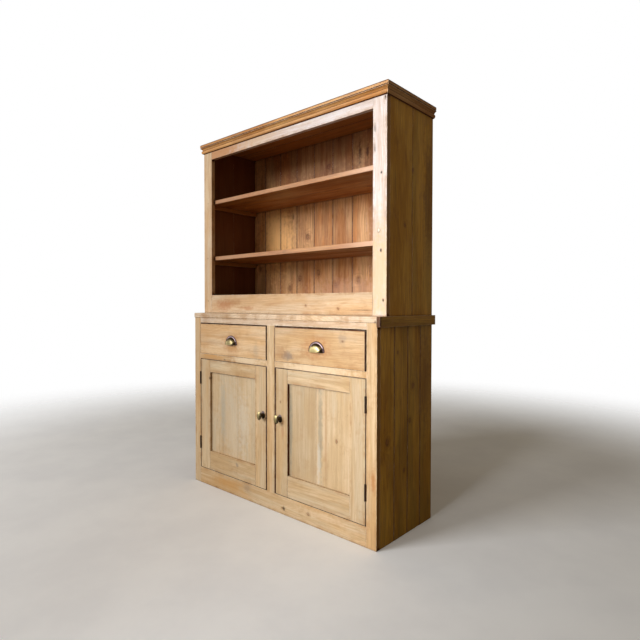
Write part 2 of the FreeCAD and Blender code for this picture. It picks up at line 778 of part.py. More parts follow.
def make_door(name, sign, knob_inset, panel_share):
    """One framed door with a two-board panel. It is hinged at the outer stile."""
    hinge_edge = (opening_half_width - size.door_gap) * sign
    meeting_edge = muntin_edges[sign] + size.door_gap * sign
    hinge_sight = hinge_edge - size.door_stile_width * sign
    meeting_sight = meeting_edge + size.door_stile_width * sign
    depth = (front, front + size.door_thickness)
    height = (door_low, door_top)

    stile = block(f"{name}_hinge_stile_board", (hinge_edge, hinge_sight), depth, height)
    cutters = door_mortises(f"{name}_hinge_stile", hinge_sight, sign)
    for place, span in hinge_spans().items():
        seat = (hinge_edge, hinge_edge - size.leaf_thickness * sign)
        reach = (front - size.overrun, front + size.leaf_reach)
        cutters.append(block(f"{name}_{place}_hinge_seat", seat, reach, span))
    part(f"{name}_hinge_stile", carved(f"{name}_hinge_stile_carved", stile, cutters))

    knob_x = meeting_edge + knob_inset * sign
    stile = block(f"{name}_meeting_stile_board", (meeting_edge, meeting_sight), depth, height)
    cutters = door_mortises(f"{name}_meeting_stile", meeting_sight, -sign)
    bore_y = (front - size.overrun, front + size.door_thickness + size.overrun)
    bore_radius = size.spindle_radius + size.spindle_play
    bore = level_rod(f"{name}_spindle_bore", bore_radius, knob_x, bore_y, knob_level)
    part(f"{name}_meeting_stile", carved(f"{name}_meeting_stile_carved", stile, cutters + [bore]))

    sight = (hinge_sight, meeting_sight)
    for rail, z, panel_edge, direction in (
        ("top_rail", (panel_top, door_top), panel_top, -1),
        ("bottom_rail", (door_low, panel_low), panel_low, 1),
    ):
        part(f"{name}_{rail}", door_rail(f"{name}_{rail}", sight, z, panel_edge, direction))

    tuck = size.panel_groove_depth - size.panel_play
    joint = hinge_sight + (meeting_sight - hinge_sight) * panel_share
    panel_y = (panel_front, panel_back)
    panel_z = (panel_low - tuck, panel_top + tuck)
    outer_board = block(f"{name}_outer_panel_board", (hinge_sight + tuck * sign, joint), panel_y, panel_z)
    inner_board = block(f"{name}_inner_panel_board", (joint, meeting_sight - tuck * sign), panel_y, panel_z)
    part(f"{name}_panel", outer_board, inner_board)
    make_turn_knob(name, knob_x, knob_inset)


def oval(x, z, length, breadth, end_radius):
    """Outline of an upright oval: four arcs that run smoothly into one another."""
    half = breadth / 2
    rise = length / 2 - end_radius
    side_radius = (half * half + rise * rise - end_radius * end_radius) / (breadth - end_radius * 2)
    out = (side_radius - half) * end_radius / (side_radius - end_radius)
    up = side_radius * rise / (side_radius - end_radius)
    return [
        (x + out, z - up, side_radius, "left"),
        (x + out, z + up, end_radius, "left"),
        (x - out, z + up, side_radius, "left"),
        (x - out, z - up, end_radius, "left"),
    ]


def make_turn_knob(name, x, inset):
    """Oval turn knob on an oval plate; its spindle carries a catch bar that reaches behind the muntin."""
    shaft = size.spindle_radius
    neck = size.knob_neck_radius
    face = -size.knob_reach
    neck_front = face + size.knob_head
    neck_end = -(size.plate_thickness + size.knob_gap)
    shaft_end = size.door_thickness + size.catch_gap
    outline = [
        (ZERO, neck_front),
        (neck, neck_front),
        (neck, neck_end),
        (shaft, neck_end),
        (shaft, shaft_end),
        (ZERO, shaft_end),
    ]
    near = front + shaft_end
    far = near + size.catch_thickness
    half_tang = size.tang_width / 2
    square = ((x - half_tang, x + half_tang), (knob_level - half_tang, knob_level + half_tang))
    spindle = turned(f"{name}_spindle", outline, 360, x, front, knob_level)
    shape = oval(x, knob_level, size.knob_length, size.knob_breadth, size.knob_end_radius)
    head = extruded(f"{name}_knob_head", "XZ", shape, (front + face, front + neck_front))
    tang = block(f"{name}_tang", square[0], (near, far + size.spindle_stub), square[1])
    part(f"{name}_turn_knob", joined(f"{name}_knob_joined", [head, spindle, tang]))

    shape = oval(x, knob_level, size.plate_length, size.plate_breadth, size.plate_end_radius)
    plate = extruded(f"{name}_knob_plate_blank", "XZ", shape, (front - size.plate_thickness, front))
    bore_y = (front - size.plate_thickness - size.overrun, front + size.overrun)
    bore = level_rod(f"{name}_plate_bore", shaft + size.spindle_play, x, bore_y, knob_level)
    part(f"{name}_knob_plate", carved(f"{name}_knob_plate_bored", plate, [bore]))

    half = size.catch_width / 2
    tip = knob_level - (inset + size.door_gap + size.catch_overlap)
    top = knob_level + half
    corner = size.catch_corner
    outline = [
        (x - half, tip + corner),
        (x - half + corner, tip),
        (x + half - corner, tip),
        (x + half, tip + corner),
        (x + half, top),
        (x - half, top),
    ]
    bar = extruded(f"{name}_catch_bar_blank", "XZ", outline, (near, far))
    hole = block(f"{name}_catch_bar_hole", square[0], (near - size.overrun, far + size.overrun), square[1])
    part(f"{name}_catch_bar", carved(f"{name}_catch_bar_carved", bar, [hole]))


def hinge_leaf(label, axis_x, plate_x, span, own):
    """Leaf of a butt hinge: a plate with its own knuckles, and square notches for the other leaf's."""
    axis_y = front - size.knuckle_standout
    room = size.knuckle_radius + size.notch_play
    step = size.hinge_length / KNUCKLES
    plate = block(label + "_plate", plate_x, (axis_y, front + size.leaf_reach), span)
    knuckles, notches = [], []
    for number in range(KNUCKLES):
        low, high = span[0] + step * number, span[0] + step * (number + 1)
        if number in own:
            low_end = low if number == 0 else low + size.knuckle_play / 2
            high_end = high if number == KNUCKLES - 1 else high - size.knuckle_play / 2
            spot = (axis_x, axis_y, (low_end, high_end))
            knuckles.append(upright_rod(f"{label}_knuckle_{number}", size.knuckle_radius, *spot))
        else:
            x, y = (axis_x - room, axis_x + room), (axis_y - size.overrun, axis_y + room)
            notches.append(block(f"{label}_notch_{number}", x, y, (low, high)))
    return joined(label + "_joined", [carved(label + "_notched", plate, notches)] + knuckles)


def make_hinges():
    """Two butt hinges a door. The pin is fast in the frame's leaf and runs free in the door's."""
    frame_leaves = []
    axis_y = front - size.knuckle_standout
    for side, sign in SIDES:
        frame_edge = opening_half_width * sign
        door_edge = frame_edge - size.door_gap * sign
        axis_x = (frame_edge + door_edge) / 2
        frame_plate = (frame_edge, frame_edge + size.leaf_thickness * sign)
        door_plate = (door_edge, door_edge - size.leaf_thickness * sign)
        door_leaves = []
        for place, span in hinge_spans().items():
            name = f"{side}_{place}_hinge"
            pin = upright_rod(name + "_pin", size.pin_radius, axis_x, axis_y, span)
            leaf = hinge_leaf(name + "_frame", axis_x, frame_plate, span, FRAME_KNUCKLES)
            frame_leaves.append(joined(name + "_frame_leaf", [leaf, pin]))
            leaf = hinge_leaf(name + "_door", axis_x, door_plate, span, DOOR_KNUCKLES)
            bore_z = (span[0] - size.overrun, span[1] + size.overrun)
            bore = upright_rod(name + "_bore", size.pin_radius + size.pin_play, axis_x, axis_y, bore_z)
            door_leaves.append(carved(name + "_door_leaf", leaf, [bore]))
        part(f"{side}_door_hinge_leaves", *door_leaves)
    part("hinge_frame_leaves", *frame_leaves)


# Rack


def make_rack():
    """Open rack that stands on the worktop."""
    rails = {"top": (rack_opening_top, rack_top), "bottom": (worktop_top, rack_opening_low)}
    height = (worktop_top, rack_top)
    for side, sign in SIDES:
        edge = rack_half_opening * sign
        name = f"rack_stile_{side}"
        board = block(name + "_board", (half_width * sign, edge), (rack_front, rack_frame_back), height)
        part(name, carved(name + "_carved", board, rail_mortises(name, edge, sign, rails, rack_front)))
        through = (half_width * sign, inner_half_width * sign)
        shares = [1 / RACK_SIDE_BOARDS] * RACK_SIDE_BOARDS
        boarded_wall(f"rack_side_{side}", (rack_frame_back, back), through, True, shares, height)
    for rail, span in rails.items():
        x = (-rack_half_opening, rack_half_opening)
        part(f"rack_{rail}_rail", frame_rail(f"rack_{rail}_rail", x, span, rack_front))
    inside = (-inner_half_width, inner_half_width)
    boarded_wall("rack_back_boards", inside, (back_front, back), False, RACK_BACK_SHARES, height)
    top = (rack_top, whole_top)
    flat_boards("rack_top_boards", RACK_TOP_BOARDS, (-half_width, half_width), (rack_front, back), top)
    floor = (rack_opening_low - size.rack_floor_thickness, rack_opening_low)
    flat_boards("rack_floor_boards", RACK_FLOOR_BOARDS, inside, (rack_frame_back, back_front), floor)
    y = (rack_frame_back, back_front)
    for place, top in (("lower", lower_shelf_top), ("upper", upper_shelf_top)):
        z = (top - size.shelf_thickness, top)
        board = nosed_board(f"rack_{place}_shelf_board", inside, y, z, size.shelf_nose_radius)
        part(f"rack_shelf_{place}", board)


def cornice_outline(base, direction):
    """Section of the cornice, standing out from base, with its heights above the floor."""
    outline = []
    for out, up, *curve in CORNICE_SHARES:
        corner = (base + size.cornice_projection * out * direction, cornice_low + size.cornice_height * up)
        if curve:
            radius, centre_side = curve
            if direction < 0:
                centre_side = {"left": "right", "right": "left"}[centre_side]
            corner += (size.cornice_height * radius, centre_side)
        outline.append(corner)
    return outline


def mitre_cutter(label, sign, keep_front):
    """Three-sided cutter whose long face is the mitre plane of one front corner."""
    over = size.overrun
    reach = size.cornice_projection + over
    corner_x = half_width * sign
    inner_end = (corner_x - over * sign, rack_front + over)
    outer_end = (corner_x + reach * sign, rack_front - reach)
    third = (outer_end[0], inner_end[1]) if keep_front else (inner_end[0], outer_end[1])
    z = (cornice_low - over, whole_top + over)
    return extruded(label, "XY", [inner_end, outer_end, third], z)


def make_cornice():
    """Moulded cornice along the front and both sides, mitred at the front corners."""
    length = half_width + size.cornice_projection
    run = extruded("cornice_front_run", "YZ", cornice_outline(rack_front, -1), (-length, length))
    cutters = [mitre_cutter(f"cornice_front_{side}_mitre", sign, True) for side, sign in SIDES]
    part("cornice_front", carved("cornice_front_carved", run, cutters))
    returns = []
    for side, sign in SIDES:
        name = f"cornice_{side}_return"
        outline = cornice_outline(half_width * sign, sign)
        run = extruded(name + "_run", "XZ", outline, (rack_front - size.cornice_projection, back))
        returns.append(carved(name, run, [mitre_cutter(name + "_mitre", sign, False)]))
    part("cornice_returns", *returns)


def check_and_write():
    """Stops on any failed object or bad shape, then writes one file for each node."""
    doc.recompute()
    failed = [item.Name for item in doc.Objects if "Invalid" in item.State or "Error" in item.State]
    if failed:
        raise RuntimeError("failed objects: " + ", ".join(failed))
    for name, node in parts.items():
        if node.Shape.isNull() or not node.Shape.isValid():
            raise RuntimeError("bad shape: " + name)
    os.makedirs("parts", exist_ok=True)
    for name, node in parts.items():
        node.Shape.exportStep(f"parts/{name}.step")
        print(name, len(node.Shape.Solids), round(node.Shape.Volume))
    print(len(parts), "nodes")


make_base_frame()
make_base_case()
make_bearers()
make_worktop()
make_drawer_supports()
make_drawer("left_drawer", -1)
make_drawer("right_drawer", 1)
make_door("left_door", -1, size.left_knob_inset, LEFT_PANEL_SHARE)
make_door("right_door", 1, size.right_knob_inset, RIGHT_PANEL_SHARE)
make_hinges()
make_rack()
make_cornice()
check_and_write()
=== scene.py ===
"""Looks of a free-standing pine hutch: waxed old pine, brass cup pulls and turn knobs, iron hinges."""

import math
from typing import NamedTuple

import bmesh
import bpy
from mathutils import Matrix, Vector


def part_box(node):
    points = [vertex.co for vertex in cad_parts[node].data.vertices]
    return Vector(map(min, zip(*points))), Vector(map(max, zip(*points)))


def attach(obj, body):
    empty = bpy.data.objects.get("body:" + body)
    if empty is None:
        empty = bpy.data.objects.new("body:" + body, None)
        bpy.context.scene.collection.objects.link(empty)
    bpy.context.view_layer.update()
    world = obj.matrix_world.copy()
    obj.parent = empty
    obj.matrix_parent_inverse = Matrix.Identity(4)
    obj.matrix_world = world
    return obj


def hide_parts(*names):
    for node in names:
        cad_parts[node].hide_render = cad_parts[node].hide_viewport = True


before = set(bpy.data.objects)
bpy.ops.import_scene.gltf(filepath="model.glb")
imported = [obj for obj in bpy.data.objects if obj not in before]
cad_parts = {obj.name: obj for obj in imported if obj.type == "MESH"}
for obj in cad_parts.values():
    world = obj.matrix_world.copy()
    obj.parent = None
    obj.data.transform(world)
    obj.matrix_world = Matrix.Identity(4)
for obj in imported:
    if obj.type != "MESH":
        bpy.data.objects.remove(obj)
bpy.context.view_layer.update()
MM = 0.001


def edges(node, axis):
    """Where a CAD node starts and ends on an axis, in millimetres to a tenth."""
    low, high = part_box(node)
    number = "XYZ".index(axis)
    return round(low[number] / MM, 1), round(high[number] / MM, 1)


# Planes of the hutch in millimetres: the faces of base, worktop, door panels, rack and its back boards
BASE_FACE = edges("base_muntin", "Y")[0]
WORKTOP_FACE = edges("worktop_boards", "Y")[0]
PANEL_FACE = edges("left_door_panel", "Y")[0]
RACK_FACE = edges("rack_top_rail", "Y")[0]
BACK_BOARDS_FACE = edges("rack_back_boards", "Y")[0]


# Camera

CAMERA_PLACE = (1.8128, -1.8741, 1.0117)
CAMERA_HEADING = math.radians(41.747)
CAMERA_PITCH = math.radians(-1.107)
CAMERA_ROLL = math.radians(0.088)
LENS_MM = 28.18
SENSOR_MM = 36
SHIFT_UP = -0.00934


def make_camera():
    """A nearly level camera at chest height, in front of the hutch's right corner."""
    level = Vector((-math.sin(CAMERA_HEADING), math.cos(CAMERA_HEADING), 0))
    aside = Vector((math.cos(CAMERA_HEADING), math.sin(CAMERA_HEADING), 0))
    upright = Vector((0, 0, 1))
    forward = level * math.cos(CAMERA_PITCH) + upright * math.sin(CAMERA_PITCH)
    above = upright * math.cos(CAMERA_PITCH) - level * math.sin(CAMERA_PITCH)
    right = aside * math.cos(CAMERA_ROLL) + above * math.sin(CAMERA_ROLL)
    up = above * math.cos(CAMERA_ROLL) - aside * math.sin(CAMERA_ROLL)
    data = bpy.data.cameras.new("camera")
    data.lens = LENS_MM
    data.sensor_width = SENSOR_MM
    data.shift_y = SHIFT_UP
    camera = bpy.data.objects.new("camera", data)
    turn = Matrix((right, up, -forward)).transposed().to_4x4()
    camera.matrix_world = Matrix.Translation(CAMERA_PLACE) @ turn
    bpy.context.scene.collection.objects.link(camera)
    bpy.context.scene.camera = camera


# Node trees

def colour(red, green, blue):
    """A colour as it looks on a screen, 0 to 255, in the linear numbers that shaders use."""
    linear = []
    for value in (red, green, blue):
        share = value / 255
        linear.append(share / 12.92 if share <= 0.04045 else ((share + 0.055) / 1.055) ** 2.4)
    return (*linear, 1.0)


class Graph:
    """The node tree of one material, with one short call for each node."""

    def __init__(self, name):
        self.material = bpy.data.materials.new(name)
        self.material.use_nodes = True
        self.tree = self.material.node_tree
        self.tree.nodes.clear()

    def node(self, kind, inputs=None, **settings):
        made = self.tree.nodes.new("ShaderNode" + kind)
        for key, value in settings.items():
            setattr(made, key, value)
        for key, value in (inputs or {}).items():
            self.feed(made.inputs[key], value)
        return made

    def feed(self, socket, value):
        if isinstance(value, bpy.types.NodeSocket):
            self.tree.links.new(value, socket)
        else:
            socket.default_value = value

    def math(self, operation, first, second=0.0, third=0.0):
        return self.node("Math", {0: first, 1: second, 2: third}, operation=operation).outputs[0]

    def add(self, first, second):
        return self.math("ADD", first, second)

    def subtract(self, first, second):
        return self.math("SUBTRACT", first, second)

    def times(self, first, second):
        return self.math("MULTIPLY", first, second)

    def vector(self, x, y, z):
        return self.node("CombineXYZ", {0: x, 1: y, 2: z}).outputs[0]

    def parts(self, vector):
        return list(self.node("SeparateXYZ", {0: vector}).outputs)

    def ease(self, value, start, end, low=0.0, high=1.0):
        """Goes smoothly from low at start to high at end."""
        if start > end:
            start, end, low, high = end, start, high, low
        inputs = {"Value": value, "From Min": start, "From Max": end, "To Min": low, "To Max": high}
        return self.node("MapRange", inputs, interpolation_type="SMOOTHSTEP").outputs[0]

    def mix(self, share, first, second, blend="MIX"):
        inputs = {0: share, 6: first, 7: second}
        return self.node("Mix", inputs, data_type="RGBA", blend_type=blend).outputs[2]

    def noise(self, vector, scale, detail=2.0, roughness=0.5):
        inputs = {"Vector": vector, "Scale": scale, "Detail": detail, "Roughness": roughness}
        return self.node("TexNoise", inputs).outputs[0]

    def length(self, vector):
        return self.node("VectorMath", {0: vector}, operation="LENGTH").outputs["Value"]

    def surface(self, shader):
        output = self.node("OutputMaterial")
        self.tree.links.new(shader.outputs[0], output.inputs[0])
        return self.material


# Pine

class Tone(NamedTuple):
    """The colours of one kind of board, how grey and knotty it is, and how rough its wax is."""
    pale: tuple
    warm: tuple
    late: tuple
    grey: tuple
    greyness: float
    knots: float
    rough: float


class Mark(NamedTuple):
    """A stain, dent or streak, or a patch of painted light or shade, at a place on a board, in
    millimetres.
    """
    place: tuple
    size: tuple
    colour: tuple
    strength: float


class Knot(NamedTuple):
    """A knot's place along and across the grain, and its radius, in millimetres."""
    along: float
    across: float
    radius: float


class Line(NamedTuple):
    """A dark joint, or a painted shadow in a gap or groove: the axis it is measured on, its place and
    its width in millimetres.
    """
    axis: str
    place: float
    width: float


class Boards(NamedTuple):
    """Boards side by side: the axis across them, where they start and how far apart, in millimetres."""
    axis: str
    start: float
    pitch: float


def equal_boards(node, axis, count):
    """Boards of one width that fill a node."""
    low, high = edges(node, axis)
    return Boards(axis, low, (high - low) / count)


def make_tone(pale, warm, late, grey, **shares):
    """A tone from its colours as they look on a screen."""
    return Tone(colour(*pale), colour(*warm), colour(*late), colour(*grey), **shares)


FRAME = make_tone(
    (226, 200, 162), (214, 176, 128), (184, 142, 92), (206, 192, 166),
    greyness=0.4, knots=0.06, rough=0.42)
RACK_FRAME = make_tone(
    (228, 202, 166), (214, 176, 130), (184, 138, 90), (210, 194, 170),
    greyness=0.4, knots=0.06, rough=0.4)
# Pinkish white pine of the rack's right stile and top rail: a painted sheen of the lamp on the wax
SHEEN_FRAME = make_tone(
    (236, 228, 228), (226, 208, 198), (196, 164, 140), (220, 216, 222),
    greyness=0.5, knots=0.06, rough=0.4)
DRAWER = make_tone(
    (222, 190, 148), (208, 168, 118), (178, 134, 86), (202, 184, 158),
    greyness=0.4, knots=0.07, rough=0.44)
DOOR = make_tone(
    (220, 196, 160), (206, 174, 130), (176, 140, 96), (198, 184, 158),
    greyness=0.45, knots=0.06, rough=0.5)
PANEL = make_tone(
    (214, 192, 158), (202, 174, 134), (180, 150, 112), (194, 182, 158),
    greyness=0.5, knots=0.06, rough=0.52)
# Copies of the side pine: for the right side and the worktop's end strip darker, more olive and more
# saturated, a painted shade; for the left side as it looks lit
SHADED_SIDE = make_tone(
    (212, 160, 54), (186, 132, 34), (126, 78, 18), (150, 120, 44),
    greyness=0.45, knots=0.12, rough=0.5)
LIT_SIDE = make_tone(
    (208, 160, 98), (186, 132, 68), (132, 84, 40), (166, 132, 84),
    greyness=0.4, knots=0.12, rough=0.5)
BACK = make_tone(
    (222, 172, 116), (194, 130, 72), (124, 68, 28), (180, 144, 96),
    greyness=0.3, knots=0.12, rough=0.5)
SHELF = make_tone(
    (206, 146, 78), (178, 112, 46), (114, 58, 18), (176, 132, 80),
    greyness=0.25, knots=0.08, rough=0.46)
INNER = make_tone(
    (190, 134, 72), (172, 112, 50), (130, 76, 30), (160, 124, 76),
    greyness=0.3, knots=0.12, rough=0.55)
WORKTOP = make_tone(
    (244, 224, 198), (236, 206, 168), (180, 138, 94), (216, 200, 178),
    greyness=0.35, knots=0.06, rough=0.42)
PALE_RAIL = make_tone(
    (236, 220, 200), (226, 200, 170), (192, 154, 116), (214, 206, 196),
    greyness=0.45, knots=0.06, rough=0.42)
CORNICE = make_tone(
    (232, 180, 114), (214, 148, 72), (146, 82, 28), (200, 160, 104),
    greyness=0.2, knots=0.04, rough=0.42)

KNOT_HEART = colour(150, 94, 52)
KNOT_RIM = colour(78, 44, 22)
JOINT_AND_SHADOW = colour(82, 34, 0)
CORNER_SHADE = colour(52, 20, 0)
GAP_SHADE = colour(80, 32, 0)
GOLD = colour(204, 152, 88)
PATINA = colour(170, 122, 72)
WORN = colour(248, 232, 208)
SHELF_EDGE_HIGHLIGHT = colour(236, 196, 168)
BRUISE = colour(128, 116, 110)
HALO = colour(176, 108, 50)
BURN = colour(60, 32, 16)
DENT = colour(66, 42, 24)
MILK = colour(214, 206, 190)
CREAM = colour(222, 186, 142)
TAN = colour(190, 132, 76)
SLATE = colour(142, 136, 120)
DARK_RED_BROWN = colour(88, 34, 12)
SHADED_SIDE_BROWN = colour(138, 92, 18)
PALE_LIGHT_POOL = colour(222, 176, 146)
PALE_PATCH = colour(238, 216, 184)
BROWN = colour(84, 46, 12)
WARM_LIGHT_POOL = colour(250, 196, 122)

# Heights and widths of the dark lines in the cornice's grooves, painted shade, in millimetres
CORNICE_GROOVES = ((1926.5, 3.5), (1912.5, 5.0), (1897.5, 3.5), (1879, 2.6))

# Specular level of the wax
WAX_SPECULAR = 0.4

# Growth rings and knots, in metres
RING_WIDTH = 5.6 * MM
PITH_DEPTHS = (35 * MM, 140 * MM)
KNOT_CELL = 0.15
KNOT_RADII = (3 * MM, 9 * MM)

# How much paler or darker than its tone a node is painted, and each board of a boarded one
PLAIN_GAIN = 0.97
GAIN_SPREAD = 0.02
BOARD_SPREAD = (0.88, 1.06)

# The seeds of two nodes are this far apart, so that no two boards come out alike
SEED_STEP = 37


class Timber:
    """Builds one node's pine: the board it is cut from, its rings and knots, what age did to it, and
    the light and shade painted on it.
    """

    def __init__(self, node, tone, grain, face, boards, seed, gain):
        self.g = Graph(node)
        self.node = node
        self.tone = tone
        self.boards = boards
        self.gain = gain
        self.place = self.g.node("TexCoord").outputs["Object"]
        self.coordinate = dict(zip("XYZ", self.g.parts(self.place)))
        self.grain = grain
        self.face = face
        # Pieces whose gaps and corners get little painted shade
        lightly_shaded = ("hinge_stile", "door_bottom_rail", "door_top_rail")
        self.lightly_shaded_edges = node.endswith(lightly_shaded)
        self.gap_shading = 0.0 if tone in (SHADED_SIDE, LIT_SIDE, BACK) or self.lightly_shaded_edges else 1.0
        self.side = next(axis for axis in "XYZ" if axis not in (grain, face))
        self.cut_board(seed)

    def span(self, axis):
        low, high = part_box(self.node)
        return low["XYZ".index(axis)], high["XYZ".index(axis)]

    def cut_board(self, seed):
        """Each board is cut from another place in another tree."""
        g = self.g
        number = float(seed)
        low, high = self.span(self.side)
        self.lateral = g.subtract(self.coordinate[self.side], (low + high) / 2)
        if self.boards:
            offset = g.subtract(self.coordinate[self.boards.axis], self.boards.start * MM)
            self.offset = offset
            share = g.math("DIVIDE", offset, self.boards.pitch * MM)
            count = g.math("FLOOR", share)
            number = g.add(count, number)
            if self.boards.axis == self.side:
                middle = g.times(g.add(count, 0.5), self.boards.pitch * MM)
                self.lateral = g.subtract(offset, middle)
        dice = g.node("TexWhiteNoise", {"W": number}, noise_dimensions="1D")
        self.dice = g.parts(dice.outputs["Color"])
        self.along = g.add(self.coordinate[self.grain], g.times(self.dice[0], 40.0))
        self.across = g.add(self.coordinate[self.side], g.times(self.dice[1], 7.0))
        self.deep = g.add(self.coordinate[self.face], g.times(self.dice[2], 5.0))

    def grain_noise(self, along, across, detail=3.0, roughness=0.55):
        """Noise drawn out along the grain; the scales are in features a metre."""
        g = self.g
        stretched = g.vector(
            g.times(self.along, along), g.times(self.across, across), g.times(self.deep, across))
        return g.noise(stretched, 1.0, detail, roughness)

    def find_knots(self, knots):
        """How far the surface is from the nearest knot, as a share of its radius."""
        g = self.g
        cells = g.vector(g.times(self.along, 0.75), self.across, 0.0)
        inputs = {"Vector": cells, "Scale": 1 / KNOT_CELL, "Randomness": 0.85}
        cells = g.node("TexVoronoi", inputs, voronoi_dimensions="2D")
        chance, bigness, _ = g.parts(cells.outputs["Color"])
        radius = g.ease(bigness, 0.0, 1.0, *KNOT_RADII)
        ratio = g.math("DIVIDE", g.times(cells.outputs["Distance"], KNOT_CELL), radius)
        missing = g.math("LESS_THAN", chance, 1 - self.tone.knots)
        ratio = g.add(ratio, g.times(missing, 90.0))
        for knot in knots:
            away = g.vector(
                g.times(g.subtract(self.coordinate[self.grain], knot.along * MM), 0.75),
                g.subtract(self.coordinate[self.side], knot.across * MM), 0.0)
            given = g.math("DIVIDE", g.length(away), knot.radius * MM)
            ratio = g.math("MINIMUM", ratio, given)
        ragged = g.noise(g.vector(self.along, self.across, 0.0), 110.0, 2.0)
        return g.add(ratio, g.times(g.subtract(ragged, 0.5), 1.5))

    def rings(self, ratio):
        """Growth rings about a pith that wanders behind the board; knots push them aside."""
        g = self.g
        wander = g.noise(g.vector(g.times(self.along, 1.3), self.dice[2], self.dice[0]), 1.0, 1.0)
        lateral = g.add(self.lateral, g.times(g.subtract(wander, 0.5), 0.22))
        low, high = self.span(self.face)
        depth = g.subtract(self.coordinate[self.face], (low + high) / 2)
        depth = g.add(depth, g.ease(self.dice[2], 0.0, 1.0, *PITH_DEPTHS))
        ring = g.length(g.vector(lateral, depth, 0.0))
        ring = g.add(ring, g.times(self.grain_noise(5.0, 14.0, 2.0), 10 * MM))
        ring = g.add(ring, g.times(g.ease(ratio, 5.0, 0.9), 12 * MM))
        ring = g.math("FRACT", g.math("DIVIDE", ring, RING_WIDTH))
        return g.times(g.math("POWER", ring, 2.2), g.ease(ring, 1.0, 0.9))

    def wood(self, late, ratio):
        """Clean wood: clouds of tone, streaks, fibres, rings and knots."""
        g = self.g
        tone = self.tone
        cloud = self.grain_noise(2.6, 8.0, 4.0)
        streak = self.grain_noise(1.6, 46.0)
        fibre = self.grain_noise(7.0, 190.0, 4.0, 0.7)
        smoke = self.grain_noise(1.8, 13.0, 5.0, 0.62)
        patches = g.vector(g.times(self.along, 9.0), g.times(self.across, 22.0), self.dice[2])
        mottle = g.noise(patches, 1.0, 6.0, 0.7)
        paint = g.mix(g.ease(cloud, 0.36, 0.62), tone.pale, tone.warm)
        paint = g.mix(g.ease(mottle, 0.52, 0.72, 0.0, 0.45), paint, tone.late)
        streaky = 0.25 if tone is SHADED_SIDE else 0.6
        paint = g.mix(g.ease(streak, 0.42, 0.74, 0.0, streaky), paint, tone.late)
        paint = g.mix(g.times(late, 0.42), paint, tone.late)
        paint = g.mix(g.times(g.ease(smoke, 0.47, 0.62), tone.greyness), paint, tone.grey)
        paint = g.mix(g.ease(fibre, 0.42, 0.7, 0.0, 0.52), paint, tone.late)
        spread = BOARD_SPREAD if self.boards else (self.gain - GAIN_SPREAD, self.gain + GAIN_SPREAD)
        value = g.ease(self.dice[1], 0.0, 1.0, *spread)
        shade = g.node("CombineColor", {0: value, 1: value, 2: value}).outputs[0]
        paint = g.mix(1.0, paint, shade, "MULTIPLY")
        ripple = g.math("SINE", g.times(ratio, 9.0))
        swirl = g.times(g.ease(ratio, 3.4, 1.1), g.ease(ripple, -1.0, 1.0, 0.15, 0.7))
        paint = g.mix(swirl, paint, tone.late)
        inside = g.ease(ratio, 1.1, 0.7)
        paint = g.mix(g.times(inside, 0.55), paint, KNOT_HEART)
        rim = g.times(g.ease(ratio, 1.45, 1.05), g.ease(ratio, 0.6, 1.0))
        heart = g.ease(ratio, 0.4, 0.15)
        paint = g.mix(g.times(g.math("MAXIMUM", rim, heart), 0.6), paint, KNOT_RIM)
        height = g.add(g.times(late, 0.5), g.times(fibre, 0.9))
        return paint, g.add(height, g.times(inside, -0.6)), cloud

    def weather(self, paint):
        """Stains, darkened long edges, a painted highlight on a shelf's front edge, stronger towards
        its right end, pits, grit and scratches.

        Returns the paint and where the pits are.
        """
        g = self.g
        stain = g.noise(self.place, 11.0, 6.0, 0.66)
        paint = g.mix(g.ease(stain, 0.53, 0.7, 0.0, 0.3), paint, PATINA)
        low, high = self.span(self.side)
        across = self.coordinate[self.side]
        nearest = g.math("MINIMUM", g.subtract(across, low), g.subtract(high, across))
        patchy = g.ease(g.noise(self.place, 17.0, 4.0, 0.6), 0.42, 0.66)
        edge = g.times(g.ease(nearest, 18 * MM, 1 * MM), patchy)
        paint = g.mix(g.times(edge, 0.55), paint, PATINA)
        # A shelf's front edge painted pale, more towards the right end: a painted highlight
        if self.tone is SHELF:
            depth = g.subtract(self.coordinate["Y"], self.span("Y")[0])
            pale = g.ease(self.coordinate["X"], 300 * MM, 560 * MM, 0.2, 0.68)
            paint = g.mix(g.times(g.ease(depth, 6 * MM, 1 * MM), pale), paint, SHELF_EDGE_HIGHLIGHT)
        pits = g.node("TexVoronoi", {"Vector": self.place, "Scale": 42.0})
        chance, bigness, _ = g.parts(pits.outputs["Color"])
        away = g.math("DIVIDE", pits.outputs["Distance"], g.ease(bigness, 0.0, 1.0, 0.03, 0.09))
        pit = g.times(g.ease(away, 1.0, 0.6), g.math("GREATER_THAN", chance, 0.82))
        paint = g.mix(g.times(pit, 0.75), paint, DENT)
        grit = g.noise(self.place, 300.0, 3.0, 0.7)
        paint = g.mix(g.ease(grit, 0.56, 0.76, 0.0, 0.45), paint, PATINA)
        scratch = self.grain_noise(16.0, 420.0, 2.0, 0.6)
        return g.mix(g.ease(scratch, 0.66, 0.76, 0.0, 0.5), paint, DENT), pit

    def add_marks(self, paint, marks):
        """Marks with ragged, soft outlines."""
        g = self.g
        blur = g.noise(self.place, 48.0, 4.0, 0.65)
        for mark in marks:
            centre = tuple(value * MM for value in mark.place)
            scale = tuple(1 / (value * MM) for value in mark.size)
            shift = g.node("VectorMath", {0: self.place, 1: centre}, operation="SUBTRACT").outputs[0]
            share = g.node("VectorMath", {0: shift, 1: scale}, operation="MULTIPLY").outputs[0]
            away = g.add(g.length(share), g.times(g.subtract(blur, 0.5), 1.6))
            paint = g.mix(g.ease(away, 1.05, 0.2, 0.0, mark.strength), paint, mark.colour)
        return paint

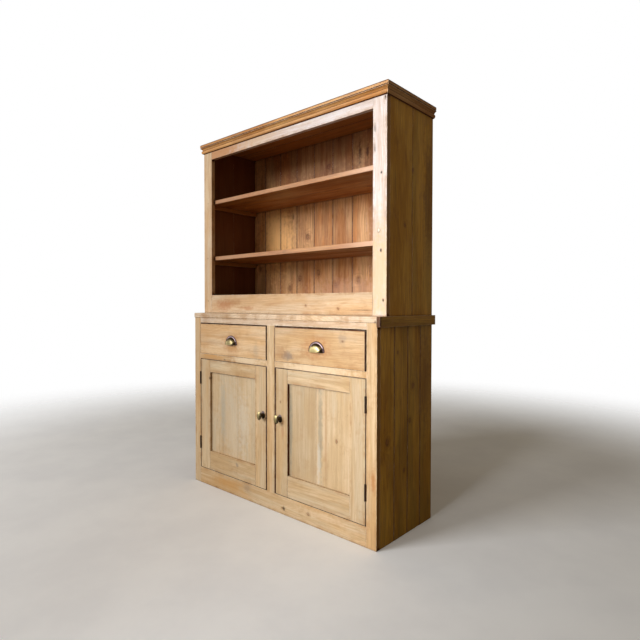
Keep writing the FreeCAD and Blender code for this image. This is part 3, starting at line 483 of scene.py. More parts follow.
    def add_lines(self, paint, lines):
        """Dark lines, joints and painted shadow in gaps and grooves, and the share of the surface that
        they make dirty or shaded.
        """
        g = self.g
        dirt_and_shade = 0.0
        for line in lines:
            away = g.math("ABSOLUTE", g.subtract(self.coordinate[line.axis], line.place * MM))
            dark = g.ease(away, 0.5 * line.width * MM, 0.25 * line.width * MM)
            paint = g.mix(dark, paint, JOINT_AND_SHADOW)
            dirt_and_shade = g.math("MAXIMUM", dirt_and_shade, dark)
        return paint, dirt_and_shade

    def part_boards(self, paint):
        """Dark joints between boards, in a wider and fainter shade."""
        g = self.g
        pitch = self.boards.pitch * MM
        whole = g.math("ROUND", g.math("DIVIDE", self.offset, pitch))
        away = g.math("ABSOLUTE", g.subtract(self.offset, g.times(whole, pitch)))
        away = g.add(away, g.math("LESS_THAN", whole, 0.5))
        tight = self.tone is PANEL or self.node.startswith("rack_side")
        strength = 0.3 if tight else 0.9
        paint = g.mix(g.ease(away, 12 * MM, 1 * MM, 0.0, 0.5 * strength), paint, self.tone.late)
        return g.mix(g.ease(away, 3 * MM, 1.3 * MM, 0.0, strength), paint, JOINT_AND_SHADOW)

    def paint_faces(self, paint, dirt_and_shade, sky):
        """Painted shade on faces: a rack side's inside, a stile's outside, and edges in a narrow gap.
        """
        g = self.g
        sideways, facing, _ = g.parts(g.node("TexCoord").outputs["Normal"])
        outwards = g.times(sideways, -1.0 if self.node.endswith("left") else 1.0)
        # The inside of a rack side painted dark red brown: painted shade
        if self.node.startswith("rack_side"):
            inner_face = g.math("LESS_THAN", outwards, -0.5)
            paint = g.mix(g.times(inner_face, 0.85), paint, DARK_RED_BROWN)
        # A stile's outer face painted in the olive brown of the shaded side: painted shade
        if self.node.startswith(("rack_stile", "base_stile")):
            outer_face = g.math("GREATER_THAN", outwards, 0.5)
            paint = g.mix(g.times(outer_face, 0.93), paint, SHADED_SIDE_BROWN)
        # Edge faces deep in a narrow gap, where the ambient occlusion is low, painted dark brown:
        # painted shade
        if self.face == "Y":
            depth = g.subtract(self.coordinate["Y"], self.span("Y")[0])
            edge_face = g.math("LESS_THAN", g.math("ABSOLUTE", facing), 0.5)
            hidden = g.times(edge_face, g.ease(depth, 0.5 * MM, 3 * MM))
            hidden = g.times(hidden, g.ease(sky, 0.92, 0.7))
            hidden = g.times(hidden, self.gap_shading)
            paint = g.mix(hidden, paint, GAP_SHADE)
            dirt_and_shade = g.math("MAXIMUM", dirt_and_shade, hidden)
        return paint, dirt_and_shade

    def wear(self, paint, sky):
        """Arrises worn pale, and painted shade in the corners, from ambient occlusion."""
        g = self.g
        rounded = g.node("Bevel", {"Radius": 2.2 * MM}, samples=4).outputs[0]
        flat = g.node("NewGeometry").outputs["Normal"]
        turned = g.node("VectorMath", {0: rounded, 1: flat}, operation="DOT_PRODUCT").outputs["Value"]
        uneven = g.ease(g.noise(self.place, 26.0, 3.0), 0.3, 0.6, 0.1, 0.75)
        rub = g.times(g.ease(turned, 0.985, 0.85), uneven)
        paint = g.mix(g.times(rub, g.ease(sky, 0.4, 0.8)), paint, WORN)
        corner_shading = 0.25 if self.lightly_shaded_edges else 0.5 if self.tone is PANEL else 0.95
        return g.mix(g.ease(sky, 0.68, 0.3, 0.0, corner_shading), paint, CORNER_SHADE)

    def age(self, paint, marks, lines):
        """What age did to the board, and the light and shade painted on it: its paint, the height of
        its dents, and where it is dirty or painted with shade.
        """
        g = self.g
        paint, pit = self.weather(paint)
        paint = self.add_marks(paint, marks)
        paint, dirt_and_shade = self.add_lines(paint, lines)
        if self.boards:
            paint = self.part_boards(paint)
        sky = g.node("AmbientOcclusion", {"Distance": 16 * MM}, samples=4).outputs["AO"]
        paint, dirt_and_shade = self.paint_faces(paint, dirt_and_shade, sky)
        return self.wear(paint, sky), g.times(pit, -1.2), dirt_and_shade

    def material(self, marks, knots, lines):
        g = self.g
        ratio = self.find_knots(knots)
        late = self.rings(ratio)
        paint, height, cloud = self.wood(late, ratio)
        paint, dents, dirt_and_shade = self.age(paint, marks, lines)
        height = g.add(g.add(height, dents), g.times(g.noise(self.place, 30.0, 2.0), 0.8))
        bump = g.node("Bump", {"Strength": 0.5, "Distance": 0.7 * MM, "Height": height}).outputs[0]
        rough = g.ease(cloud, 0.3, 0.7, self.tone.rough - 0.06, self.tone.rough + 0.14)
        rough = g.math("MAXIMUM", rough, dirt_and_shade)
        inputs = {
            "Base Color": paint, "Roughness": rough, "Normal": bump, "Specular IOR Level": WAX_SPECULAR}
        return g.surface(g.node("BsdfPrincipled", inputs))


# Metal

TARNISH = colour(52, 42, 36)
BRASS_DARK = colour(72, 60, 44)
BRASS_BRIGHT = colour(216, 200, 146)
PULL_DARK = colour(82, 64, 70)
# Lilac grey of a painted reflection on a pull's flange and of a painted highlight on a knob plate's top
LILAC_REFLECTION = colour(172, 152, 158)
IRON_SKIN = colour(44, 32, 26)
IRON_BROWN = colour(80, 50, 32)
IRON_PORES = colour(24, 20, 18)

# Radius at which a cup pull's cup rises from its flange, in metres
CUP_RADIUS = 39.5 * MM

# How dark the lower part of each pull's cup stays, the left pull being more tarnished, its bright rest
# a painted highlight; its top is painted shade on both
PULL_SHADES = {"left": 0.48, "right": 0.1}


def brass(name, dark, bright, shade, ring=None):
    """Aged brass, a dark skin that is bright where its shade leaves it, in uneven patches; on the
    knobs, plates and pulls the bright part is a painted highlight.

    Shade gives the share that stays dark, most of it painted shade, and ring the share of a pull's
    greyer flange, which carries a painted reflection.
    """
    g = Graph(name)
    place = g.node("TexCoord").outputs["Object"]
    patch = g.noise(place, 90.0, 4.0, 0.65)
    speck = g.noise(place, 420.0, 3.0, 0.6)
    unshaded = g.subtract(1.0, shade(g, place))
    highlight_share = g.ease(g.add(unshaded, g.times(g.subtract(patch, 0.5), 0.7)), 0.2, 0.8)
    if ring:
        dark = g.mix(ring(g, place), BRASS_DARK, dark)
        bright = g.mix(ring(g, place), bright, LILAC_REFLECTION)
    metal = g.mix(highlight_share, dark, bright)
    metal = g.mix(g.ease(speck, 0.5, 0.75, 0.0, 0.5), metal, TARNISH)
    rough = g.ease(highlight_share, 0.0, 1.0, 0.5, 0.38)
    inputs = {"Strength": 0.2, "Distance": 0.3 * MM, "Height": g.add(speck, patch)}
    bump = g.node("Bump", inputs).outputs[0]
    inputs = {"Base Color": metal, "Metallic": 1.0, "Roughness": rough, "Normal": bump}
    return g.surface(g.node("BsdfPrincipled", inputs))


def pull_reach(g, place, centre):
    """Distance from the axis of a cup pull."""
    sideways, _, upward = g.parts(place)
    return g.length(g.vector(g.subtract(sideways, centre[0]), 0.0, g.subtract(upward, centre[1])))


def dark_rim(centre, low_shade):
    """Painted shade of a cup pull: dark at its rim, round the foot of its cup, at the top and on the
    right, leaving a painted highlight low on the left.
    """
    def shade(g, place):
        reach = pull_reach(g, place, centre)
        sideways, _, upward = g.parts(place)
        height = g.subtract(upward, centre[1])
        on_cup = g.ease(reach, CUP_RADIUS + 1 * MM, CUP_RADIUS)
        top = g.times(g.ease(height, 12 * MM, 37 * MM, low_shade, 0.85), on_cup)
        rightward = g.subtract(g.subtract(sideways, centre[0]), height)
        corner = g.ease(rightward, 10 * MM, 26 * MM, 0.0, 0.9)
        from_foot = g.math("ABSOLUTE", g.subtract(reach, CUP_RADIUS))
        fillet = g.ease(from_foot, 2.4 * MM, 0.5 * MM, 0.0, 0.75)
        rim = g.ease(reach, CUP_RADIUS + 4 * MM, CUP_RADIUS + 6 * MM)
        dark = g.math("MAXIMUM", g.math("MAXIMUM", rim, fillet), g.math("MAXIMUM", top, corner))
        return g.math("MAXIMUM", dark, 0.1)
    return shade


def pull_flange(centre):
    """Where a cup pull is flange and no longer cup."""
    def ring(g, place):
        return g.ease(pull_reach(g, place, centre), CUP_RADIUS, CUP_RADIUS + 1.5 * MM)
    return ring


def dark_behind(centre, face):
    """Painted highlight and shade of a knob: bright on its head's left, dark on the right, low down and
    behind the face.
    """
    def shade(g, place):
        sideways, depth, upward = g.parts(place)
        behind = g.ease(depth, face + 2.5 * MM, face + 6 * MM)
        right = g.ease(g.subtract(sideways, centre[0]), 2 * MM, 10 * MM, 0.0, 0.8)
        low = g.ease(g.subtract(upward, centre[1]), -8 * MM, -18 * MM, 0.0, 0.6)
        return g.math("MAXIMUM", g.math("MAXIMUM", behind, right), low)
    return shade


def dark_foot(centre):
    """Shade of a knob's plate: nearly black, its top greyer where it catches the light."""
    def shade(g, place):
        return g.ease(g.subtract(g.parts(place)[2], centre[1]), 2 * MM, 14 * MM, 1.0, 0.5)
    return shade


def iron(name):
    """Old iron, nearly black, with brown rust in its pores."""
    g = Graph(name)
    place = g.node("TexCoord").outputs["Object"]
    patch = g.noise(place, 90.0, 4.0, 0.65)
    pores = g.noise(place, 600.0, 3.0, 0.6)
    skin = g.mix(g.ease(patch, 0.4, 0.7), IRON_SKIN, IRON_BROWN)
    skin = g.mix(g.ease(pores, 0.5, 0.75, 0.0, 0.6), skin, IRON_PORES)
    rough = g.ease(patch, 0.3, 0.7, 0.45, 0.75)
    inputs = {"Strength": 0.4, "Distance": 0.5 * MM, "Height": g.add(patch, pores)}
    bump = g.node("Bump", inputs).outputs[0]
    inputs = {"Base Color": skin, "Metallic": 0.5, "Roughness": rough, "Normal": bump}
    return g.surface(g.node("BsdfPrincipled", inputs))


# Wooden pieces

def dress(node, material):
    """Gives a CAD node its material."""
    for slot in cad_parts[node].material_slots:
        slot.material = material


# Where the two boards of each door panel meet, and a width that neither board exceeds
PANEL_JOINTS = (("left", -266.2), ("right", 291.2))
PANEL_BOARD = 300

# The boards of the rack's back; the first and the last are narrower, so they start outside it
BACK_BOARDS = Boards("X", -654, 137)


def plan_pine():
    """Each wooden node's tone, the axes of its grain and its face, and its boards if it has several."""
    upright = ("Z", "Y")
    level = ("X", "Y")
    flat = ("X", "Z")
    inward = ("Y", "X")
    wall = ("Z", "X")
    plan = {
        "base_stile_left": (FRAME, *upright), "base_stile_right": (FRAME, *upright),
        "base_muntin": (FRAME, *upright), "base_top_rail": (PALE_RAIL, *level),
        "base_mid_rails": (FRAME, *level), "base_bottom_rail": (FRAME, *level),
        "rack_stile_left": (RACK_FRAME, *upright), "rack_stile_right": (SHEEN_FRAME, *upright),
        "rack_top_rail": (SHEEN_FRAME, *level), "rack_bottom_rail": (RACK_FRAME, *level),
        "base_side_left": (LIT_SIDE, *wall, equal_boards("base_side_left", "Y", 4)),
        "base_side_right": (SHADED_SIDE, *wall, equal_boards("base_side_right", "Y", 4)),
        "rack_side_left": (LIT_SIDE, *wall, equal_boards("rack_side_left", "Y", 2)),
        "rack_side_right": (SHADED_SIDE, *wall, equal_boards("rack_side_right", "Y", 2)),
        "base_back_boards": (BACK, *upright, equal_boards("base_back_boards", "X", 8)),
        "rack_back_boards": (BACK, *upright, BACK_BOARDS),
        "base_bottom_boards": (INNER, *flat, equal_boards("base_bottom_boards", "Y", 3)),
        "rack_top_boards": (INNER, *flat, equal_boards("rack_top_boards", "Y", 3)),
        "rack_floor_boards": (INNER, *flat, equal_boards("rack_floor_boards", "Y", 2)),
        "cupboard_shelf": (INNER, *flat), "shelf_bearers": (INNER, *inward),
        "drawer_runners": (INNER, *inward), "drawer_guides": (INNER, *inward),
        "drawer_kickers": (INNER, *inward),
        "worktop_boards": (WORKTOP, *flat, equal_boards("worktop_boards", "Y", 3)),
        "worktop_end_strip": (SHADED_SIDE, *inward),
        "rack_shelf_lower": (SHELF, *flat), "rack_shelf_upper": (SHELF, *flat),
        "cornice_front": (CORNICE, *level), "cornice_returns": (CORNICE, *inward),
    }
    for side in ("left", "right"):
        plan[f"{side}_drawer_front"] = (DRAWER, *level)
        plan[f"{side}_drawer_sides"] = (INNER, *inward)
        plan[f"{side}_drawer_back"] = (INNER, *level)
        plan[f"{side}_drawer_bottom"] = (INNER, *flat)
        plan[f"{side}_door_hinge_stile"] = (DOOR, *upright)
        plan[f"{side}_door_meeting_stile"] = (DOOR, *upright)
        plan[f"{side}_door_top_rail"] = (DOOR, *level)
        plan[f"{side}_door_bottom_rail"] = (DOOR, *level)
    for side, meeting in PANEL_JOINTS:
        boards = Boards("X", meeting - PANEL_BOARD, PANEL_BOARD)
        plan[f"{side}_door_panel"] = (PANEL, *upright, boards)
    return plan


# Stains, dents and streaks of single nodes, and on some of them painted light and shade
MARKS = {
    "left_drawer_front": [
        Mark((-307.5, BASE_FACE, 800), (95, 30, 66), HALO, 0.45),
        Mark((-296, BASE_FACE, 779), (70, 30, 16), GOLD, 0.6),
        Mark((-110, BASE_FACE, 775), (30, 30, 60), BRUISE, 0.25)],
    "right_drawer_front": [
        Mark((301.5, BASE_FACE, 812), (110, 30, 66), HALO, 0.5),
        Mark((115, BASE_FACE, 768), (52, 30, 30), BRUISE, 0.7),
        Mark((70, BASE_FACE, 780), (60, 30, 40), PATINA, 0.5),
        Mark((450, BASE_FACE, 862), (30, 30, 40), BRUISE, 0.3)],
    "rack_back_boards": [
        # The top darker, a painted shadow under the rack's top; paler patches on the left, on the right
        # and low down, painted pools of light
        Mark((-60, BACK_BOARDS_FACE, 1850), (760, 60, 300), DARK_RED_BROWN, 0.45),
        Mark((-420, BACK_BOARDS_FACE, 1430), (210, 60, 330), WARM_LIGHT_POOL, 0.6),
        Mark((480, BACK_BOARDS_FACE, 1330), (230, 60, 380), PALE_LIGHT_POOL, 0.55),
        Mark((160, BACK_BOARDS_FACE, 1080), (420, 60, 90), PALE_LIGHT_POOL, 0.35),
        Mark((216, BACK_BOARDS_FACE, 1800), (14, 30, 75), BURN, 0.85),
        Mark((266, BACK_BOARDS_FACE, 1798), (10, 30, 60), BURN, 0.75),
        Mark((-273, BACK_BOARDS_FACE, 1527), (12, 30, 26), BURN, 0.7)],
    "right_door_panel": [
        Mark((316, PANEL_FACE, 440), (19, 30, 300), SLATE, 0.6),
        Mark((308, PANEL_FACE, 290), (14, 30, 130), MILK, 0.6),
        Mark((130, PANEL_FACE, 420), (14, 30, 280), SLATE, 0.6),
        Mark((350, PANEL_FACE, 420), (10, 30, 240), HALO, 0.25)],
    "left_door_panel": [
        Mark((-390, PANEL_FACE, 420), (30, 30, 240), SLATE, 0.45),
        Mark((-220, PANEL_FACE, 380), (60, 30, 200), MILK, 0.35),
        Mark((-320, PANEL_FACE, 400), (150, 30, 320), MILK, 0.3)],
    "left_door_meeting_stile": [Mark((-40, BASE_FACE, 450), (12, 30, 36), PATINA, 0.6)],
    "right_door_meeting_stile": [
        Mark((86, BASE_FACE, 452), (20, 30, 34), PATINA, 0.45),
        Mark((84, BASE_FACE, 400), (12, 30, 60), HALO, 0.4)],
    "left_door_hinge_stile": [Mark((-497, BASE_FACE, 601), (9, 30, 12), DENT, 0.9)],
    "rack_side_right": [Mark((636, 205, 1500), (8, 60, 420), DARK_RED_BROWN, 0.4)],
    "base_side_right": [Mark((636, 180, 640), (8, 90, 300), DARK_RED_BROWN, 0.35)],
    "rack_top_rail": [
        # Tan at the rail's left end is a painted shade, and cream further right weakens the painted
        # sheen
        Mark((-520, RACK_FACE, 1860), (340, 30, 90), TAN, 0.9),
        Mark((-180, RACK_FACE, 1860), (200, 30, 50), CREAM, 0.4)],
    "worktop_end_strip": [Mark((644, WORKTOP_FACE, 940), (60, 18, 60), BROWN, 1.0)],
    "worktop_boards": [Mark((630, WORKTOP_FACE, 932), (13, 14, 16), BROWN, 0.85)],
    "rack_stile_right": [
        # Creamier lower down, where the painted sheen is weaker
        Mark((600, RACK_FACE, 1130), (110, 30, 330), CREAM, 0.8),
        Mark((574, RACK_FACE, 1752), (7, 30, 28), BRUISE, 0.8),
        Mark((574, RACK_FACE, 1668), (6, 30, 22), BRUISE, 0.8),
        Mark((595, RACK_FACE, 1321), (12, 30, 14), BRUISE, 0.6),
        Mark((595, RACK_FACE, 1324), (5, 30, 8), WORN, 0.9),
        Mark((608, RACK_FACE, 1562), (7, 30, 10), DENT, 0.95),
        Mark((606, RACK_FACE, 1239), (8, 30, 11), DENT, 0.95),
        Mark((619, RACK_FACE, 1028), (7, 30, 11), DENT, 0.9),
        Mark((626, RACK_FACE, 1866), (5, 30, 13), DENT, 0.8)],
    "rack_bottom_rail": [
        Mark((-400, RACK_FACE, 1020), (120, 30, 26), PATINA, 0.6),
        Mark((-450, RACK_FACE, 1005), (100, 30, 40), HALO, 0.55),
        Mark((-250, RACK_FACE, 990), (70, 30, 16), HALO, 0.55),
        Mark((510, RACK_FACE, 987), (110, 30, 2.4), BURN, 0.7)],
    "base_bottom_rail": [
        Mark((92, BASE_FACE, 31), (12, 30, 13), DENT, 0.85),
        Mark((-330, BASE_FACE, 50), (170, 30, 36), GOLD, 0.6),
        Mark((-180, BASE_FACE, 62), (40, 30, 26), BRUISE, 0.3),
        Mark((330, BASE_FACE, 62), (180, 30, 20), PALE_PATCH, 0.4)],
    "left_door_bottom_rail": [Mark((-260, BASE_FACE, 165), (16, 30, 14), BRUISE, 0.55)],
    "base_mid_rails": [
        Mark((-480, BASE_FACE, 724), (135, 30, 16), GOLD, 0.85),
        Mark((-362, BASE_FACE, 712), (12, 30, 8), DENT, 0.5),
        Mark((-180, BASE_FACE, 720), (150, 30, 30), PALE_PATCH, 0.6),
        Mark((300, BASE_FACE, 720), (330, 30, 40), PALE_PATCH, 0.6)],
    "base_stile_right": [
        Mark((618, BASE_FACE, 280), (14, 30, 60), HALO, 0.6)],
}

# Knots that stand out
KNOTS = {
    "right_drawer_front": [Knot(454, 852, 3.5)],
    "rack_bottom_rail": [Knot(175, 1006, 4), Knot(375, 992, 5)],
    "base_bottom_rail": [Knot(84, 30, 4), Knot(253, 49, 6)],
    "right_door_meeting_stile": [Knot(541, 70, 3)],
    "right_door_panel": [Knot(410, 412, 5)],
    "rack_back_boards": [
        Knot(1399, -159, 9), Knot(1190, -75, 10), Knot(1163, -218, 10), Knot(1140, 207, 8),
        Knot(1107, -301, 9), Knot(1117, 55, 8), Knot(1405, -457, 8), Knot(1303, 131, 7)],
    "base_side_right": [Knot(651, 71, 8), Knot(498, 47, 6), Knot(286, 0, 5)],
    "rack_side_right": [Knot(1357, -1, 5), Knot(1607, 62, 5)],
}

# How much paler or darker than its tone a single node is
GAINS = {
    "left_door_meeting_stile": 1.08, "left_door_hinge_stile": 1.05,
    "left_door_top_rail": 1.04, "left_door_bottom_rail": 1.02, "base_stile_left": 1.02,
    "base_stile_right": 0.95, "worktop_end_strip": 0.78, "rack_stile_left": 0.93,
    "rack_stile_right": 0.98, "cornice_returns": 0.7, "cornice_front": 1.05,
    "left_drawer_front": 1.12, "right_door_top_rail": 1.02,
}


def draw_joints_and_shadows():
    """Dark lines where pieces meet, and painted shadow where a gap opens or a groove runs, by node."""
    rack_left = edges("rack_stile_left", "X")[1]
    rack_right = edges("rack_stile_right", "X")[0]
    base_left = edges("base_stile_left", "X")[1]
    base_right = edges("base_stile_right", "X")[0]
    base_joints = [Line("X", base_left, 2.4), Line("X", base_right, 2.4)]
    lines = {
        "rack_bottom_rail": [Line("X", rack_left, 3), Line("X", rack_right, 4.5)],
        "rack_top_rail": [Line("X", rack_left, 3), Line("X", rack_right, 3)],
        "base_top_rail": base_joints,
        "base_bottom_rail": base_joints,
        # The mid rails' lower edge and the muntin's right edge: painted shadow in the gaps by the doors
        "base_mid_rails": [Line("Z", edges("base_mid_rails", "Z")[0], 5)],
        "base_muntin": [Line("X", edges("base_muntin", "X")[1], 6)],
    }
    for node in ("cornice_front", "cornice_returns"):
        lines[node] = [Line("Z", height, width) for height, width in CORNICE_GROOVES]
    # Widths of the painted shadow lines in the gaps above, below and beside a drawer, and how far past
    # its right end the last lies
    gaps = (("left", 7, 3.4, 6, 0), ("right", 12, 3, 10, 0.5))
    for side, above, below, beside, past in gaps:
        node = f"{side}_drawer_front"
        bottom, top = edges(node, "Z")
        right_end = edges(node, "X")[1]
        lines[node] = [
            Line("Z", top + 0.5, above), Line("X", right_end + past, beside), Line("Z", bottom, below)]
    # Near is a stile's edge towards the muntin, far the one away from it
    for side, near, far in (("left", 1, 0), ("right", 0, 1)):
        door = f"{side}_door"
        # A door's rails get dark joints at both stiles, its top rail a painted shadow along the sight
        # edge over the panel, and its meeting stile a wide painted shadow in the gap by the muntin
        hinge_joint = Line("X", edges(door + "_hinge_stile", "X")[near], 3)
        meeting_stile = edges(door + "_meeting_stile", "X")
        sight_edge = edges(door + "_top_rail", "Z")[0]
        lines[door + "_bottom_rail"] = [hinge_joint, Line("X", meeting_stile[far], 3)]
        lines[door + "_top_rail"] = [*lines[door + "_bottom_rail"], Line("Z", sight_edge, 3.6)]
        lines[door + "_meeting_stile"] = [
            Line("X", meeting_stile[near], 8), Line("X", meeting_stile[far], 2)]
    return lines


def dress_pine():
    """One material for each wooden node, its grain along the real piece."""
    lines = draw_joints_and_shadows()
    for count, (node, settings) in enumerate(plan_pine().items()):
        tone, grain, face, *boards = settings
        gain = GAINS.get(node, PLAIN_GAIN)
        timber = Timber(node, tone, grain, face, boards[0] if boards else None, count * SEED_STEP, gain)
        dress(node, timber.material(MARKS.get(node, ()), KNOTS.get(node, ()), lines.get(node, ())))


# Turned and cast pieces

# Points nearer than this are one, in metres
WELD = 1e-6

# Radii of the nail heads on the rack's left and right, in millimetres
NAIL_RADIUS = 2.4
LARGE_NAIL_RADIUS = 3.2


def new_piece(name, mesh_builder, body, replaced, material):
    """Turns a bmesh into a piece that rides on a body."""
    mesh = bpy.data.meshes.new(name)
    bmesh.ops.recalc_face_normals(mesh_builder, faces=mesh_builder.faces)
    mesh_builder.to_mesh(mesh)
    mesh_builder.free()
    mesh.materials.append(material)
    piece = bpy.data.objects.new(name, mesh)
    bpy.context.scene.collection.objects.link(piece)
    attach(piece, body)
    if replaced:
        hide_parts(replaced)
    return piece


def curve(start, leaving, arriving, end, count):
    """Points of a smooth curve from start to end, drawn towards the two points between them."""
    points = []
    for step in range(count):
        share = step / (count - 1)
        rest = 1 - share
        weights = (rest ** 3, 3 * rest ** 2 * share, 3 * rest * share ** 2, share ** 3)
        ways = zip(start, leaving, arriving, end)
        points.append(tuple(sum(weight * value for weight, value in zip(weights, way)) for way in ways))
    return points


def lathe(builder, centre, outline, start=0.0, sweep=360.0, segments=48):
    """Turns an outline of (radius, depth) points about the Y axis through centre.

    A radius may be two numbers, across and up, for an oval.
    """
    rings = []
    closed = sweep == 360.0
    count = segments if closed else segments + 1
    for radius, depth in outline:
        across, up = radius if isinstance(radius, tuple) else (radius, radius)
        if up == 0:
            rings.append([builder.verts.new((centre[0], depth, centre[1]))])
            continue
        ring = []
        for step in range(count):
            angle = math.radians(start + sweep * step / segments)
            x = centre[0] + across * math.cos(angle)
            z = centre[1] + up * math.sin(angle)
            ring.append(builder.verts.new((x, depth, z)))
        rings.append(ring)
    for inner, outer in zip(rings, rings[1:]):
        for step in range(segments):
            after = (step + 1) % count
            corners = [
                inner[step % len(inner)], inner[after % len(inner)],
                outer[after % len(outer)], outer[step % len(outer)]]
            unique = list(dict.fromkeys(corners))
            if len(unique) > 2:
                builder.faces.new(unique)


def smooth(piece):
    """Smooth shading that keeps the sharp edges."""
    for polygon in piece.data.polygons:
        polygon.use_smooth = True
    split = piece.modifiers.new("sharp edges", "EDGE_SPLIT")
    split.split_angle = math.radians(50)


def make_turn_knob(side):
    """Brass turn knob: an oval, slightly domed head on a waisted neck, and its spindle."""
    node = f"{side}_door_turn_knob"
    low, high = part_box(node)
    centre = ((low[0] + high[0]) / 2, (low[2] + high[2]) / 2)
    face, end = low[1], high[1]
    shaft_end = 55
    profile = [
        *curve((0, 0, 0), (10.5, 14.9, 0), (15.4, 20.7, 2.9), (15.9, 21.4, 4.8), 6),
        *curve((15.9, 21.4, 5.6), (15.2, 20.8, 9.8), (6.4, 6.7, 7.5), (6, 6, 15), 7),
        (5.8, 5.8, 19), (6.2, 6.2, 23), (7.2, 7.2, 26), (8.2, 8.2, 28),
        (4, 4, 28.2), (4, 4, shaft_end), (0, 0, shaft_end)]
    outline = [((across * MM, up * MM), face + back * MM) for across, up, back in profile]
    material = brass(f"{side}_knob_brass", BRASS_DARK, BRASS_BRIGHT, dark_behind(centre, face))
    builder = bmesh.new()
    lathe(builder, centre, outline)
    half = 2.8 * MM
    square = [(-half, -half), (half, -half), (half, half), (-half, half)]
    loops = []
    for depth in (face + shaft_end * MM, end):
        loops.append([builder.verts.new((centre[0] + x, depth, centre[1] + z)) for x, z in square])
    for step in range(4):
        after = (step + 1) % 4
        builder.faces.new([loops[0][step], loops[0][after], loops[1][after], loops[1][step]])
    for loop in loops:
        builder.faces.new(loop)
    piece = new_piece(f"{side}_knob_cast", builder, f"{side}_catch", node, material)
    smooth(piece)


def make_knob_plate(side):
    """Oval brass plate under a turn knob, with a low round boss about the spindle."""
    node = f"{side}_door_knob_plate"
    low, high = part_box(node)
    centre = ((low[0] + high[0]) / 2, (low[2] + high[2]) / 2)
    back = high[1]
    profile = [
        (14, 19.5, 0.0), (14, 19.5, 1.0), (13.6, 19.1, 1.7), (12.8, 18.3, 2.0), (11.6, 16.9, 2.2),
        (10.2, 13.6, 2.7), (9.2, 10.2, 3.3), (8.6, 8.8, 3.5), (4.2, 4.2, 3.5), (4.2, 4.2, 0.0)]
    outline = [((across * MM, up * MM), back - out * MM) for across, up, out in profile]
    material = brass(f"{side}_plate_brass", BRASS_DARK, LILAC_REFLECTION, dark_foot(centre))
    builder = bmesh.new()
    lathe(builder, centre, outline + outline[:1])
    bmesh.ops.remove_doubles(builder, verts=builder.verts, dist=WELD)
    piece = new_piece(f"{side}_plate_cast", builder, f"{side}_door", node, material)
    smooth(piece)


def make_cup_pull(side):
    """Pressed brass cup pull: a half-round flange with a hollow dome, open below for the fingers."""
    node = f"{side}_drawer_cup_pull"
    low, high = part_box(node)
    centre = ((low[0] + high[0]) / 2, low[2])
    flange = [(49, 0), (48.9, 1.1), (48.2, 1.8), (46.6, 2), (43.4, 1.9), (40.8, 2.2), (39.4, 3)]
    outside = curve((38.6, 4.8), (36.3, 21), (16.2, 20), (0, 20), 10)
    inside = curve((0, 18.2), (18.2, 18.2), (37, 18.8), (37, 0), 11)
    outline = [(radius * MM, high[1] - out * MM) for radius, out in flange + outside + inside]
    shade = dark_rim(centre, PULL_SHADES[side])
    material = brass(f"{side}_pull_brass", PULL_DARK, BRASS_BRIGHT, shade, pull_flange(centre))
    builder = bmesh.new()
    lathe(builder, centre, outline + outline[:1], sweep=180.0, segments=40)
    bmesh.ops.remove_doubles(builder, verts=builder.verts, dist=WELD)
    bmesh.ops.holes_fill(builder, edges=builder.edges, sides=0)
    piece = new_piece(f"{side}_pull_cast", builder, f"{side}_drawer", node, material)
    smooth(piece)


def make_nail(name, place, radius, material):
    """A hand-driven nail head, slightly domed, sunk to its rim in the wood's front face."""
    x, y, z = (value * MM for value in place)
    profile = [(0, -0.45), (0.5, -0.4), (0.85, -0.25), (1, 0.05), (0.6, 2), (0, 9)]
    outline = [(radius * share * MM, y + depth * MM) for share, depth in profile]
    builder = bmesh.new()
    lathe(builder, (x, z), outline, segments=14)
    piece = new_piece(name, builder, "case", None, material)
    smooth(piece)


def make_nails(material):
    """Nail heads that show on the rack's front."""
    right = [(608, 1562), (606, 1239), (626, 1870), (619, 1028)]
    left = [(-600, 1590), (-602, 1275), (-600, 1030)]
    for count, (x, z) in enumerate(right + left):
        radius = LARGE_NAIL_RADIUS if x > 0 else NAIL_RADIUS
        make_nail(f"nail_head_{count}", (x, RACK_FACE, z), radius, material)


# Studio

# The floor in metres: its radius, where it starts and ends to fade, and how far it lies below the feet
FLOOR_RADIUS = 6.0
FLOOR_FADE = (1.9, 4.6)
FLOOR_DROP = 0.0005

# What the floor throws back on the hutch, and the two shades that the camera sees
FLOOR_PAINT = colour(120, 118, 114)
FLOOR_SEEN = (colour(240, 243, 248), colour(248, 251, 255))

WHITE = (1, 1, 1, 1)
FILL_COLOUR = (1.0, 0.84, 0.62, 1)
FILL_STRENGTH = 0.22
LAMP_COLOUR = (1.0, 0.985, 0.97)


def make_floor():
    """A plain pale floor that fades into the white background away from the hutch."""
    g = Graph("floor")
    place = g.node("TexCoord").outputs["Object"]
    mottle = g.noise(place, 2.2, 5.0, 0.6)
    seen = g.mix(g.ease(mottle, 0.3, 0.7), *FLOOR_SEEN)
    camera_ray = g.node("LightPath").outputs["Is Camera Ray"]
    matt = g.node("BsdfDiffuse", {"Color": g.mix(camera_ray, FLOOR_PAINT, seen)})
    clear = g.node("BsdfTransparent")
    fade = g.ease(g.length(place), *FLOOR_FADE)
    material = g.surface(g.node("MixShader", {0: fade, 1: matt.outputs[0], 2: clear.outputs[0]}))
    builder = bmesh.new()
    bmesh.ops.create_circle(builder, cap_ends=True, segments=64, radius=FLOOR_RADIUS)
    mesh = bpy.data.meshes.new("floor")
    builder.to_mesh(mesh)
    builder.free()
    mesh.materials.append(material)
    floor = bpy.data.objects.new("floor", mesh)
    floor.location = (0, 0, -FLOOR_DROP)
    bpy.context.scene.collection.objects.link(floor)


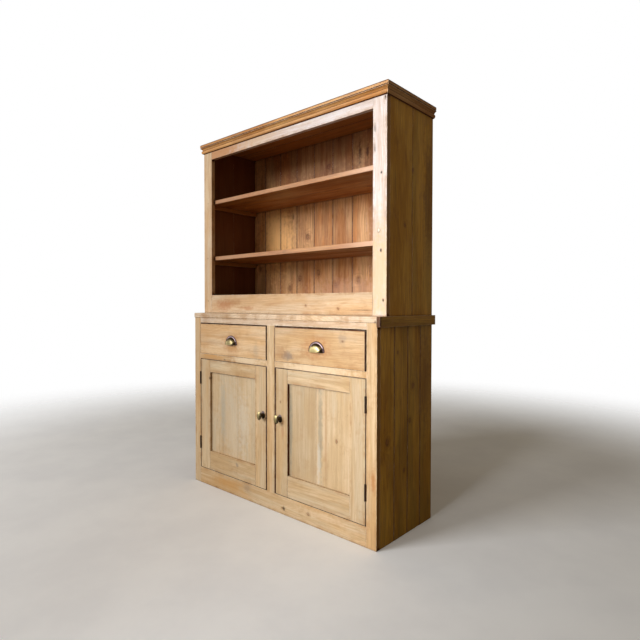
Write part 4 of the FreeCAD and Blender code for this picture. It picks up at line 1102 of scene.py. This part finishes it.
def make_world():
    """White behind the object, a weak warm light on it."""
    world = bpy.data.worlds.new("studio")
    bpy.context.scene.world = world
    world.use_nodes = True
    tree = world.node_tree
    tree.nodes.clear()
    path = tree.nodes.new("ShaderNodeLightPath")
    white = tree.nodes.new("ShaderNodeBackground")
    white.inputs[0].default_value = WHITE
    fill = tree.nodes.new("ShaderNodeBackground")
    fill.inputs[0].default_value = FILL_COLOUR
    fill.inputs[1].default_value = FILL_STRENGTH
    seen = tree.nodes.new("ShaderNodeMath")
    seen.operation = "MAXIMUM"
    mixed = tree.nodes.new("ShaderNodeMixShader")
    output = tree.nodes.new("ShaderNodeOutputWorld")
    tree.links.new(path.outputs["Is Camera Ray"], seen.inputs[0])
    tree.links.new(path.outputs["Is Transmission Ray"], seen.inputs[1])
    tree.links.new(seen.outputs[0], mixed.inputs[0])
    tree.links.new(fill.outputs[0], mixed.inputs[1])
    tree.links.new(white.outputs[0], mixed.inputs[2])
    tree.links.new(mixed.outputs[0], output.inputs[0])


def make_lamp(name, place, aim, width, height, power, spread=180):
    """A soft rectangular lamp."""
    data = bpy.data.lights.new(name, "AREA")
    data.shape = "RECTANGLE"
    data.size = width
    data.size_y = height
    data.energy = power
    data.color = LAMP_COLOUR
    data.spread = math.radians(spread)
    lamp = bpy.data.objects.new(name, data)
    lamp.location = place
    lamp.rotation_euler = (Vector(aim) - Vector(place)).to_track_quat("-Z", "Y").to_euler()
    bpy.context.scene.collection.objects.link(lamp)


def make_light():
    """A broad lamp in front on the left, a weak one far left and a narrow one before the right end."""
    make_lamp("window", (-2.9, -7.4, 3.7), (0, 0, 1.1), width=3.4, height=3.2, power=490)
    make_lamp("side window", (-5.5, -2.8, 1.6), (0, -0.2, 1.0), width=2.6, height=2.4, power=40)
    make_lamp(
        "reflector", (0.7, -2.7, 1.1), (0.7, -0.15, 0.9), width=0.5, height=1.9, power=6, spread=50)


make_camera()
dress_pine()
iron_material = iron("iron_old")
dress("hinge_frame_leaves", iron_material)
for door in ("left", "right"):
    dress(f"{door}_door_hinge_leaves", iron_material)
    dress(f"{door}_door_catch_bar", iron_material)
    make_turn_knob(door)
    make_knob_plate(door)
    make_cup_pull(door)
make_nails(iron_material)
make_floor()
make_world()
make_light()
bpy.context.scene.view_settings.view_transform = "Standard"
